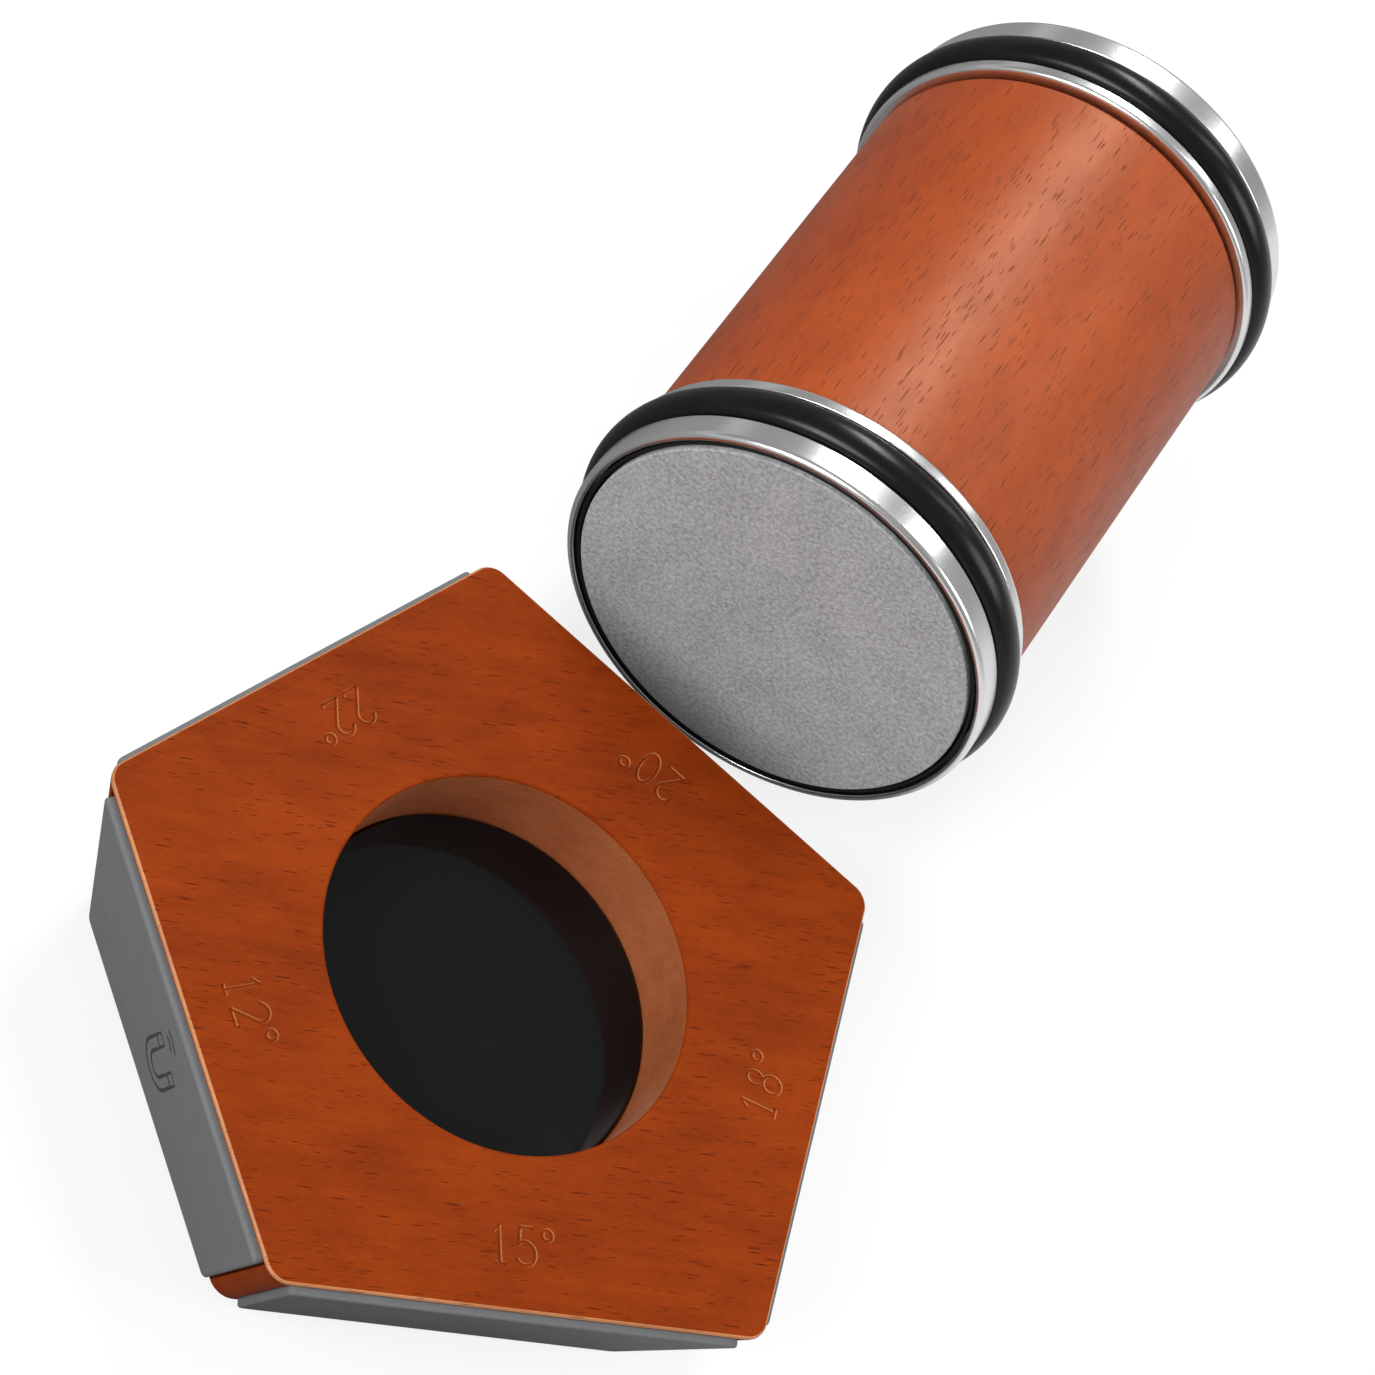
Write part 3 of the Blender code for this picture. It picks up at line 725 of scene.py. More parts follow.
    @staticmethod
    def turning_lines() -> bpy.types.NodeTree:
        """Fine rings left by turning about Y, in millimetres from the axis.

        Returns:
            The node group.
        """
        bench = EffectBench("turning_lines", {"Place": None, "Fineness": 1.0})
        x, y, z = bench.add("ShaderNodeSeparateXYZ", {0: bench.given["Place"]}).outputs
        radius = bench.math("SQRT", bench.math("ADD", bench.math("MULTIPLY", x, x),
                                               bench.math("MULTIPLY", z, z)))
        ring = bench.add("ShaderNodeCombineXYZ", {0: radius, 1: y}).outputs[0]
        scaled = bench.vector("SCALE", ring, bench.given["Fineness"])
        fine = bench.noise(scaled, 9.0, 3.0, 0.7)
        broad = bench.noise(scaled, 1.6, 2.0)
        worn = bench.noise(bench.given["Place"], 0.22, 3.0, 0.5)
        return bench.give(Height=bench.math("ADD", fine, broad),
                          Dullness=bench.total((fine, 0.5), (worn, 0.5)))

    @staticmethod
    def fine_speckle() -> bpy.types.NodeTree:
        """A fine even grain with a slight mottle, for grit, rubber and pads, in millimetres.

        Returns:
            The node group.
        """
        bench = EffectBench("fine_speckle", {"Place": None, "Fineness": 1.0, "Light": WHITE,
                                             "Dark": WHITE})
        scaled = bench.vector("SCALE", bench.given["Place"], bench.given["Fineness"])
        grain = bench.noise(scaled, 2.6, 4.0, 0.75)
        grit = bench.add("ShaderNodeTexVoronoi", {"Vector": scaled, "Scale": 3.4})
        mottle = bench.noise(scaled, 0.22, 4.0, 0.6)
        share = bench.total((bench.ramp(grain, 0.34, 0.66), 0.8),
                            (bench.ramp(mottle, 0.3, 0.7), 0.2))
        share = bench.add("ShaderNodeClamp", {"Value": share}).outputs[0]
        pits = bench.math("MULTIPLY", grit.outputs["Distance"], 0.5)
        return bench.give(Colour=bench.blend(share, bench.given["Light"], bench.given["Dark"]),
                          Height=bench.math("SUBTRACT", grain, pits),
                          Dullness=bench.total((mottle, 0.6), (grain, 0.4)))

    @staticmethod
    def handling_marks() -> bpy.types.NodeTree:
        """Smudges, hairline scratches and a little dust on a smooth surface, in millimetres.

        Returns:
            The node group.
        """
        bench = EffectBench("handling_marks", {"Place": None})
        place = bench.given["Place"]
        smudge = bench.ramp(bench.noise(place, 0.09, 4.0, 0.6), 0.38, 0.72)
        hairs = []
        for turn, shift in ((0.4, 3.0), (1.9, 17.0)):
            laid = bench.add("ShaderNodeMapping", {"Vector": place, "Rotation": (0.2, 0.3, turn),
                                                   "Scale": (0.05, 2.4, 2.4),
                                                   "Location": (shift, 0.0, 0.0)})
            hairs.append(bench.ramp(bench.noise(laid.outputs[0], 1.0, 2.0, 0.4), 0.68, 0.72))
        specks = bench.add("ShaderNodeTexVoronoi", {"Vector": place, "Scale": 0.8,
                                                    "Randomness": 1.0})
        dust = bench.ramp(specks.outputs["Distance"], 0.05, 0.03)
        return bench.give(Smudge=smudge, Scratch=bench.math("MAXIMUM", *hairs), Dust=dust)


# Finishes


def opaque(colour: Colour) -> tuple[float, float, float, float]:
    """A colour with its fourth number, for a node's colour input."""
    return (*colour, 1.0)


@dataclass(frozen=True)
class Finish:
    """What every finish shares: its name, where its pattern starts and how it is laid.

    Attributes:
        name: The material's name.
        centre: The middle of the pattern.
        heading: The way the grain runs, in degrees from X, level.
    """

    name: str
    centre: Triple = (0.0, 0.0, 0.0)
    heading: float = 0.0

    def start(self) -> tuple[bpy.types.Material, NodeBench, bpy.types.Node, bpy.types.NodeSocket]:
        """Start the material, with a place in millimetres that runs along the grain.

        Returns:
            The material, its bench, its Principled shader and the place.
        """
        material = bpy.data.materials.new(self.name)
        material.use_nodes = True
        bench = NodeBench(material.node_tree)
        shader = material.node_tree.nodes["Principled BSDF"]
        where = bench.add("ShaderNodeTexCoord").outputs["Object"]
        turn = math.radians(-self.heading)
        middle = Matrix.Rotation(turn, 3, "Z") @ Vector(self.centre)
        laid = bench.add("ShaderNodeMapping", {"Vector": where, "Scale": (1 / MM, 1 / MM, 1 / MM),
                                               "Rotation": (0.0, 0.0, turn),
                                               "Location": -middle / MM})
        return material, bench, shader, laid.outputs[0]


@dataclass(frozen=True)
class StainedBeech(Finish):
    """Beech under a brown-orange stain, with or without a thin clear coat.

    Attributes:
        stain: The stain's usual colour.
        deep_stain: Its colour where it took more.
        fleck_stain: The flecks' colour.
        fleck_size: The flecks' size, 1 for flecks 2 to 3 mm long.
        fleck_share: How many flecks there are.
        mottle: How uneven the stain is.
        gloss: The coat's weight.
        gloss_dullness: The coat's roughness.
        dullness: The surface's least roughness.
        spread: How much the roughness varies.
        specular: How strongly the wood itself reflects.
        tint: The colour of what it reflects.
        relief: How deep the flecks and fibres are, in metres.
    """

    stain: Colour = (0.42, 0.09, 0.02)
    deep_stain: Colour = (0.22, 0.04, 0.01)
    fleck_stain: Colour = (0.06, 0.012, 0.006)
    fleck_size: float = 1.0
    fleck_share: float = 1.0
    mottle: float = 1.0
    gloss: float = 0.4
    gloss_dullness: float = 0.36
    dullness: float = 0.36
    spread: float = 0.16
    specular: float = 0.25
    tint: Colour = (1.0, 1.0, 1.0)
    relief: float = 0.03 * MM

    def material(self, effects: Effects) -> bpy.types.Material:
        """Build the material.

        Args:
            effects: The shared effects.

        Returns:
            The material.
        """
        material, bench, shader, place = self.start()
        figure = bench.add("ShaderNodeGroup",
                           {"Grain": place, "Stain": opaque(self.stain),
                            "Deep Stain": opaque(self.deep_stain),
                            "Fleck Stain": opaque(self.fleck_stain), "Fleck Size": self.fleck_size,
                            "Fleck Share": self.fleck_share, "Mottle": self.mottle},
                           node_tree=effects.timber)
        dull = bench.ramp(figure.outputs["Dullness"], 0.1, 0.7, self.dullness,
                          self.dullness + self.spread)
        bench.feed(shader, {"Base Color": figure.outputs["Colour"], "Roughness": dull,
                            "Specular IOR Level": self.specular,
                            "Specular Tint": opaque(self.tint), "Coat Weight": self.gloss,
                            "Coat Roughness": self.gloss_dullness,
                            "Normal": bench.bump(figure.outputs["Height"], self.relief, 0.7)})
        return material


@dataclass(frozen=True)
class TurnedSteel(Finish):
    """Turned metal, from a mirror polish to a fine machined face.

    Attributes:
        colour: The metal's colour.
        dullness: Its least roughness.
        spread: How much the roughness varies.
        relief: How deep the turning rings are, in metres.
        fineness: How close they lie.
    """

    colour: Colour = (0.72, 0.72, 0.71)
    dullness: float = 0.12
    spread: float = 0.12
    relief: float = 0.001 * MM
    fineness: float = 1.0

    def material(self, effects: Effects) -> bpy.types.Material:
        """Build the material.

        Args:
            effects: The shared effects.

        Returns:
            The material.
        """
        material, bench, shader, place = self.start()
        rings = bench.add("ShaderNodeGroup", {"Place": place, "Fineness": self.fineness},
                          node_tree=effects.turning)
        marks = bench.add("ShaderNodeGroup", {"Place": place}, node_tree=effects.handling)
        smudge = marks.outputs["Smudge"]
        smudged = tuple(0.86 * value for value in self.colour)
        tone = bench.blend(bench.math("MULTIPLY", smudge, 0.5), opaque(self.colour),
                           opaque(smudged))
        dull = bench.ramp(rings.outputs["Dullness"], 0.25, 0.75, self.dullness,
                          self.dullness + self.spread)
        dull = bench.math("ADD", dull, bench.math("MULTIPLY", smudge, 0.04))
        bench.feed(shader, {"Base Color": tone, "Roughness": dull, "Metallic": 1.0,
                            "Normal": bench.bump(rings.outputs["Height"], self.relief)})
        return material


@dataclass(frozen=True)
class Grained(Finish):
    """A surface with a fine grain: grit, rubber, a pad or a moulded piece.

    Attributes:
        light: The lighter colour.
        dark: The darker colour.
        fineness: How fine the grain is.
        relief: How deep it is, in metres.
        dullness: The least roughness.
        spread: How much the roughness varies.
        specular: How strongly it reflects.
    """

    light: Colour = (0.12, 0.12, 0.12)
    dark: Colour = (0.08, 0.08, 0.08)
    fineness: float = 1.0
    relief: float = 0.02 * MM
    dullness: float = 0.5
    spread: float = 0.15
    specular: float = 0.5

    def material(self, effects: Effects) -> bpy.types.Material:
        """Build the material.

        Args:
            effects: The shared effects.

        Returns:
            The material.
        """
        material, bench, shader, place = self.start()
        grain = bench.add("ShaderNodeGroup",
                          {"Place": place, "Fineness": self.fineness,
                           "Light": opaque(self.light), "Dark": opaque(self.dark)},
                          node_tree=effects.speckle)
        dull = bench.ramp(grain.outputs["Dullness"], 0.25, 0.75, self.dullness,
                          self.dullness + self.spread)
        bench.feed(shader, {"Base Color": grain.outputs["Colour"], "Roughness": dull,
                            "Specular IOR Level": self.specular,
                            "Normal": bench.bump(grain.outputs["Height"], self.relief)})
        return material


@dataclass(frozen=True)
class GlossBlack(Finish):
    """The recess's glossy black disc, with smudges, hairline scratches and a little dust.

    Attributes:
        colour: Its colour.
        dust_colour: The dust's colour.
        dust_share: How much of the dust shows.
        dullness: The least roughness.
        specular: How strongly it reflects.
        relief: How deep the scratches are, in metres.
    """

    colour: Colour = (0.004, 0.0045, 0.005)
    dust_colour: Colour = (0.10, 0.09, 0.08)
    dust_share: float = 0.35
    dullness: float = 0.07
    specular: float = 0.28
    relief: float = 0.0003 * MM

    def material(self, effects: Effects) -> bpy.types.Material:
        """Build the material.

        Args:
            effects: The shared effects.

        Returns:
            The material.
        """
        material, bench, shader, place = self.start()
        marks = bench.add("ShaderNodeGroup", {"Place": place}, node_tree=effects.handling)
        smudge, scratch = marks.outputs["Smudge"], marks.outputs["Scratch"]
        dust = bench.math("MULTIPLY", marks.outputs["Dust"], self.dust_share)
        tone = bench.blend(dust, opaque(self.colour), opaque(self.dust_colour))
        dull = bench.math("ADD", self.dullness, bench.math("MULTIPLY", smudge, 0.03))
        dull = bench.math("ADD", dull, bench.math("MULTIPLY", scratch, 0.04))
        grooves = bench.math("MULTIPLY", scratch, -1.0)
        bench.feed(shader, {"Base Color": tone, "Roughness": dull,
                            "Specular IOR Level": self.specular,
                            "Normal": bench.bump(grooves, self.relief)})
        return material


# Sub-assemblies


@dataclass
class Assembly:
    """What the block and the roller share: dressing a piece and reporting it.

    Attributes:
        effects: The shared node groups.
        finishes: The materials made so far, by finish.
    """

    effects: Effects
    finishes: dict[Finish, bpy.types.Material] = field(default_factory=dict)

    def dress(self, piece: bpy.types.Object, finish: Finish) -> None:
        """Give a piece one finish all over.

        Args:
            piece: The piece or frame node.
            finish: The finish.
        """
        if finish not in self.finishes:
            self.finishes[finish] = finish.material(self.effects)
        piece.data.materials.clear()
        piece.data.materials.append(self.finishes[finish])

    def fit(self, piece: bpy.types.Object, finish: Finish, body: str, slot: str,
            *nodes: str) -> None:
        """Dress a finished piece and tie it to the frame.

        Args:
            piece: The finished piece.
            finish: Its finish.
            body: The body that it rides on.
            slot: Not used.
            *nodes: The frame's nodes that it stands for.
        """
        self.dress(piece, finish)
        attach(piece, body)
        if nodes:
            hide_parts(*nodes)
        LOG.info("%s: %d faces on %s", piece.name, len(piece.data.polygons), body)

    def dress_nodes(self, frame: dict, finish: Finish, *endings: str) -> None:
        """Give the frame's nodes whose names end in one of these words a finish.

        Args:
            frame: The loaded frame.
            finish: The finish.
            *endings: The ends of their names.
        """
        for name, node in frame["nodes"].items():
            if name.rstrip("_0123456789").endswith(endings):
                self.dress(node, finish)


@dataclass
class AngleBlock(Assembly):
    """The five-sided block with its recess, numbers, side pads, sign and foot.

    Attributes:
        corner_radius: From the middle to a sharp corner of the top.
        wood_height: The wood's height.
        foot_proud: How far the foot holds the wood off the table.
        corner_rounding: The rounding of the five corners.
        edge_rounding: The rounding of the top and bottom edges.
        blank_steps: How many faces go round the blank before it is sawn.
        round_steps: How many faces go round the recess and the disc.
        recess_radius: The recess's radius.
        recess_depth: From the top down to the black disc.
        recess_edge: The rounding of the recess's edge.
        disc_thickness: The black disc's thickness.
        disc_edge: The rounding of its edges.
        fit_gap: The gap between neighbouring pieces.
        pad_thickness: The side pads' thickness.
        pad_proud: How far they stand out of the wood.
        pad_edge: The rounding of their edges.
        pad_margins: Their margins at the top, one corner, the bottom and the other corner.
        magnet_size: Length, height and thickness of a magnet.
        magnet_spacing: Between the two magnets of a side.
        foot_thickness: The foot's thickness.
        foot_margin: From the bottom's edge to the foot.
        foot_corner: The rounding of its corners.
        foot_edge: The rounding of its upper edge.
        groove_count: How many grooves run round under it.
        rib_width: The width of the rib outside each groove.
        groove_slope: The width of a groove's sloping sides.
        groove_floor: The width of its floor.
        groove_depth: Its depth.
        number_height: The height of the engraved numbers.
        number_radius: From the middle of the block to the middle of a number.
        number_line: Half the width of an engraved line.
        number_lift: How far the engraving tool's middle stays above the top.
        worn_normals: The least and most that the faces of a rounded top edge look upwards; these
            faces get the lighter edge stain, which is wear and a painted highlight.
        engraved_normal: The most that an engraved face looks upwards.
        wall_normal: The most that the recess's wall looks up or down.
    """

    corner_radius: float = 52.5 * MM
    wood_height: float = 22.4 * MM
    foot_proud: float = 0.8 * MM
    corner_rounding: float = 2.0 * MM
    edge_rounding: float = 0.6 * MM
    blank_steps: int = 40
    round_steps: int = 128
    recess_radius: float = 23.5 * MM
    recess_depth: float = 10.8 * MM
    recess_edge: float = 0.5 * MM
    disc_thickness: float = 1.5 * MM
    disc_edge: float = 0.35 * MM
    fit_gap: float = 0.3 * MM
    pad_thickness: float = 2.2 * MM
    pad_proud: float = 1.0 * MM
    pad_edge: float = 0.4 * MM
    pad_margins: tuple[float, float, float, float] = (0.9 * MM, 2.4 * MM, 0.9 * MM, 2.4 * MM)
    magnet_size: Triple = (20.0 * MM, 10.0 * MM, 4.0 * MM)
    magnet_spacing: float = 23.0 * MM
    foot_thickness: float = 1.6 * MM
    foot_margin: float = 4.4 * MM
    foot_corner: float = 2.0 * MM
    foot_edge: float = 0.2 * MM
    groove_count: int = 5
    rib_width: float = 1.6 * MM
    groove_slope: float = 0.3 * MM
    groove_floor: float = 0.9 * MM
    groove_depth: float = 0.5 * MM
    number_height: float = 4.6 * MM
    number_radius: float = 34.6 * MM
    number_line: float = 0.26 * MM
    number_lift: float = 0.02 * MM
    worn_normals: Pair = (0.15, 0.985)
    engraved_normal: float = 0.8
    wall_normal: float = 0.2

    @property
    def top(self) -> float:
        """The height of the block's top."""
        return self.foot_proud + self.wood_height

    @property
    def reach(self) -> float:
        """From the middle to a side's top edge."""
        return self.corner_radius * math.cos(math.pi / len(Side))

    @staticmethod
    def side_direction(side: Side) -> Vector:
        """The level direction that a side faces."""
        angle = math.radians(90 + side.place * 360 / len(Side))
        return Vector((math.cos(angle), math.sin(angle)))

    def outline(self, depth: float) -> list[Vector]:
        """The block's sharp corners at a depth below its top.

        Args:
            depth: The depth.

        Returns:
            A corner between each side and the next.
        """
        lines = []
        for side in Side:
            out = self.side_direction(side)
            reach = self.reach - depth * math.tan(math.radians(side.value))
            lines.append(Vector((out.x, out.y, reach)))
        return [line_crossing(lines[i], lines[(i + 1) % len(lines)]) for i in range(len(lines))]

    def side_frame(self, side: Side) -> Matrix:
        """A side's own frame: X along its top edge, Y up the face, Z out of it.

        Args:
            side: The side.

        Returns:
            The frame, with its origin in the middle of the top edge.
        """
        lean = math.radians(side.value)
        out = self.side_direction(side)
        face = Vector((out.x * math.cos(lean), out.y * math.cos(lean), -math.sin(lean)))
        along = Vector((-out.y, out.x, 0))
        turn = Matrix((along, face.cross(along), face)).transposed().to_4x4()
        return Matrix.Translation((out.x * self.reach, out.y * self.reach, self.top)) @ turn

    def pad_outline(self, side: Side, growth: float = 0.0) -> list[Vector]:
        """A pad's corners on its side.

        Args:
            side: The side.
            growth: How much larger than the pad it is, all round.

        Returns:
            The corners, in the side's frame.
        """
        to_side = self.side_frame(side).inverted()
        corners = []
        for depth, order in ((0.0, (-1, 0)), (self.wood_height, (0, -1))):
            outline = self.outline(depth)
            for step in order:
                corner = outline[(side.place + step) % len(outline)]
                corners.append((to_side @ Vector((corner.x, corner.y, self.top - depth))).to_2d())
        return inset_outline(corners, [margin - growth for margin in self.pad_margins])

    def side_slab(self, name: str, side: Side, corners: Sequence[Vector], low: float,
                  high: float) -> bpy.types.Object:
        """A slab that lies on a side.

        Args:
            name: The slab's name.
            side: The side.
            corners: Its outline in the side's frame.
            low: How far out of the side it starts.
            high: How far out it ends.

        Returns:
            The slab.
        """
        frame = self.side_frame(side)
        placed = [frame @ Vector((corner.x, corner.y, low)) for corner in corners]
        return cut_slab(name, placed, frame.to_3x3() @ Vector((0, 0, high - low)))

    def foot_slab(self, name: str, margin: float, low: float, depth: float) -> bpy.types.Object:
        """A level slab within the wood's bottom outline.

        Args:
            name: The slab's name.
            margin: From the bottom's edge to the slab.
            low: The height at which it starts.
            depth: How thick it is.

        Returns:
            The slab.
        """
        corners = inset_outline(self.outline(self.wood_height), [margin] * len(Side))
        return cut_slab(name, [Vector((c.x, c.y, low)) for c in corners], Vector((0, 0, depth)))

    def turned(self, name: str, profile: Sequence[Pair]) -> bpy.types.Object:
        """Turn a piece about the upright through the block's middle.

        Args:
            name: The piece's name.
            profile: Points as radius and height.

        Returns:
            The turned piece.
        """
        points = [Vector((radius, 0, height)) for radius, height in profile]
        return turn_on_lathe(name, points, Vector(), Vector((0, 0, 1)), self.round_steps)

    def saw_blank(self) -> bpy.types.Object:
        """Saw a round blank to five leaning sides and round its edges.

        Returns:
            The wooden block before it is hollowed.
        """
        deselect_all()
        bpy.ops.mesh.primitive_cylinder_add(
            vertices=self.blank_steps, radius=self.corner_radius + CUT_OVERRUN,
            depth=self.wood_height, location=(0, 0, self.foot_proud + self.wood_height / 2))
        block = bpy.context.active_object
        block.name = "angle_block"
        block.data.name = "angle_block"
        settle(block)
        edit(block)
        for side in Side:
            frame = self.side_frame(side)
            bpy.ops.mesh.select_all(action="SELECT")
            bpy.ops.mesh.bisect(plane_co=frame.translation, plane_no=frame.col[2].to_3d(),
                                use_fill=True, clear_outer=True)
        bpy.ops.object.mode_set(mode="OBJECT")
        bevel_edges(block, lambda edge: climb(edge) > self.wood_height / 2, self.corner_rounding,
                    segments=8)
        bevel_edges(block, sharp, self.edge_rounding, segments=5)
        return block

    def recess_shape(self) -> bpy.types.Object:
        """The recess, with a rounded edge at its mouth.

        Returns:
            The cutter.
        """
        radius, edge = self.recess_radius, self.recess_edge
        floor = self.top - self.recess_depth - self.disc_thickness - self.fit_gap
        above = self.top + CUT_OVERRUN
        return self.turned("recess_cutter", [
            (0.0, floor), (radius, floor), *arc((radius + edge, self.top - edge), edge, 180, 90, 6),
            (radius + edge, above), (0.0, above)])

    def magnet_pockets(self, side: Side) -> list[bpy.types.Object]:
        """The pockets for a side's two magnets.

        Args:
            side: The side.

        Returns:
            The two cutters.
        """
        middle = middle_of(self.pad_outline(side))
        length, height, thickness = (size + 2 * self.fit_gap for size in self.magnet_size)
        floor = self.pad_proud - self.pad_thickness - self.fit_gap
        pockets = []
        for shift in (-self.magnet_spacing / 2, self.magnet_spacing / 2):
            corners = [middle + Vector((shift + x * length / 2, y * height / 2))
                       for x, y in ((-1, -1), (1, -1), (1, 1), (-1, 1))]
            pockets.append(self.side_slab("pocket_cutter", side, corners,
                                          floor - thickness + self.fit_gap, floor + self.fit_gap))
        return pockets

    def build_wood(self) -> bpy.types.Object:
        """The wooden block: sawn, rounded, hollowed and engraved.

        Returns:
            The block.
        """
        block = self.saw_blank()
        cut_away(block, self.recess_shape())
        rebate_floor = self.pad_proud - self.pad_thickness - self.fit_gap
        rebates = [self.side_slab("rebate_cutter", side, self.pad_outline(side, self.fit_gap),
                                  rebate_floor, CUT_OVERRUN) for side in Side]
        cut_away(block, join(rebates, "rebates"))
        pockets = [pocket for side in Side for pocket in self.magnet_pockets(side)]
        cut_away(block, join(pockets, "pockets"))
        depth = CUT_OVERRUN + self.foot_thickness + self.fit_gap
        cut_away(block, self.foot_slab("hollow_cutter", self.foot_margin - self.fit_gap,
                                       -CUT_OVERRUN, depth))
        engraver = Engraver(self.number_height, self.number_line)
        for side in Side:
            out = self.side_direction(side)
            middle = Vector((out.x * self.number_radius, out.y * self.number_radius,
                             self.top + self.number_lift))
            cut_away(block, engraver.number(side.value, middle, -out), crossing=True)
        drop_slivers(block)
        shade(block, weighted=True)
        return block

    def stain_edges(self, block: bpy.types.Object) -> None:
        """Give the top's rounded edges, the engraved walls and the recess's wall lighter stains:
        wear with a painted highlight on the rounded edges, a painted highlight on the engraved
        walls, and painted light on the recess's wall.

        Args:
            block: The dressed block.
        """
        # The lighter edge stain is wear and a painted highlight on the rounded top edges, and a
        # painted highlight on the engraved walls.
        block.data.materials.append(WORN_AND_HIGHLIT_BEECH.material(self.effects))
        # The recess's wall gets a lighter copy of the block's stain: painted light on the wall.
        block.data.materials.append(LIT_RECESS_BEECH.material(self.effects))
        low, high = self.worn_normals
        for face in block.data.polygons:
            out = face.center.to_2d().length
            upward = face.normal.z
            rounded = low < upward < high and face.center.z > self.top - 1.5 * self.edge_rounding
            engraved = (abs(out - self.number_radius) < self.number_height
                        and upward < self.engraved_normal)
            if rounded and (engraved or out > self.number_radius + self.number_height):
                face.material_index = 1
            elif abs(upward) < self.wall_normal and out < self.recess_radius + self.recess_edge:
                face.material_index = 2

    def build_disc(self) -> bpy.types.Object:
        """The black disc on the recess's floor.

        Returns:
            The disc.
        """
        high = self.top - self.recess_depth
        low = high - self.disc_thickness
        radius, edge = self.recess_radius - self.fit_gap, self.disc_edge
        disc = self.turned("recess_disc", [
            (0.0, low), (radius - edge, low), *arc((radius - edge, low + edge), edge, -90, 0, 4),
            *arc((radius - edge, high - edge), edge, 0, 90, 5), (0.0, high)])
        shade(disc, weighted=True)
        return disc

    def build_pad(self, side: Side) -> bpy.types.Object:
        """A side's pad, with softened edges.

        Args:
            side: The side.

        Returns:
            The pad.
        """
        pad = self.side_slab(f"blade_rest_{side.value}", side, self.pad_outline(side),
                             self.pad_proud - self.pad_thickness, self.pad_proud)
        out = self.side_frame(side).col[2].to_3d()
        bevel_edges(pad, lambda edge: abs(direction(edge).dot(out)) > 0.9, 2 * self.pad_edge,
                    segments=5)
        bevel_edges(pad, sharp, self.pad_edge, segments=4)
        shade(pad, weighted=True)
        return pad

    def build_foot(self) -> bpy.types.Object:
        """The rubber foot, with ribs that run round under it.

        Returns:
            The foot.
        """
        foot = self.foot_slab("ribbed_foot", self.foot_margin, 0, self.foot_thickness)
        mesh = edit(foot)
        for face in mesh.faces:
            face.select_set(face.normal.z < -0.9)
        bmesh.update_edit_mesh(foot.data)
        for _ in range(self.groove_count):
            for width, rise in ((self.rib_width, 0), (self.groove_slope, -self.groove_depth),
                                (self.groove_floor, 0), (self.groove_slope, self.groove_depth)):
                bpy.ops.mesh.inset(thickness=width, depth=rise)
        bpy.ops.object.mode_set(mode="OBJECT")
        half = self.foot_thickness / 2
        bevel_edges(foot, lambda edge: climb(edge) > half, self.foot_corner, segments=6)
        bevel_edges(foot, lambda edge: sharp(edge) and min(v.co.z for v in edge.verts) > half,
                    self.foot_edge, segments=2)
        shade(foot, weighted=True)
        return foot

    def build_sign(self) -> bpy.types.Object:
        """The small magnet sign printed on the twelve-degree pad.

        Returns:
            The sign.
        """
        middle = middle_of(self.pad_outline(Side.TWELVE))
        on_pad = Matrix.Translation((middle.x, middle.y, self.pad_proud))
        return MagnetSign().build(self.side_frame(Side.TWELVE) @ on_pad)

    def build(self, frame: dict) -> None:
        """Build and fit every piece of the block.

        Args:
            frame: The loaded frame.
        """
        wood = self.build_wood()
        self.fit(wood, BLOCK_BEECH, "block", "block_wood", "block_body")
        self.stain_edges(wood)
        self.fit(self.build_disc(), RECESS_GLOSS, "block", "recess_pad", "recess_pad")
        self.fit(self.build_foot(), FOOT_RUBBER, "block", "foot_rubber", "foot_pad")
        for side in Side:
            self.fit(self.build_pad(side), PAD_GREY, "block", "side_pad", f"side_pad_{side.value}")
        self.fit(self.build_sign(), SIGN_INK, "block", "side_pad")
        self.dress_nodes(frame, NICKEL, "magnet")


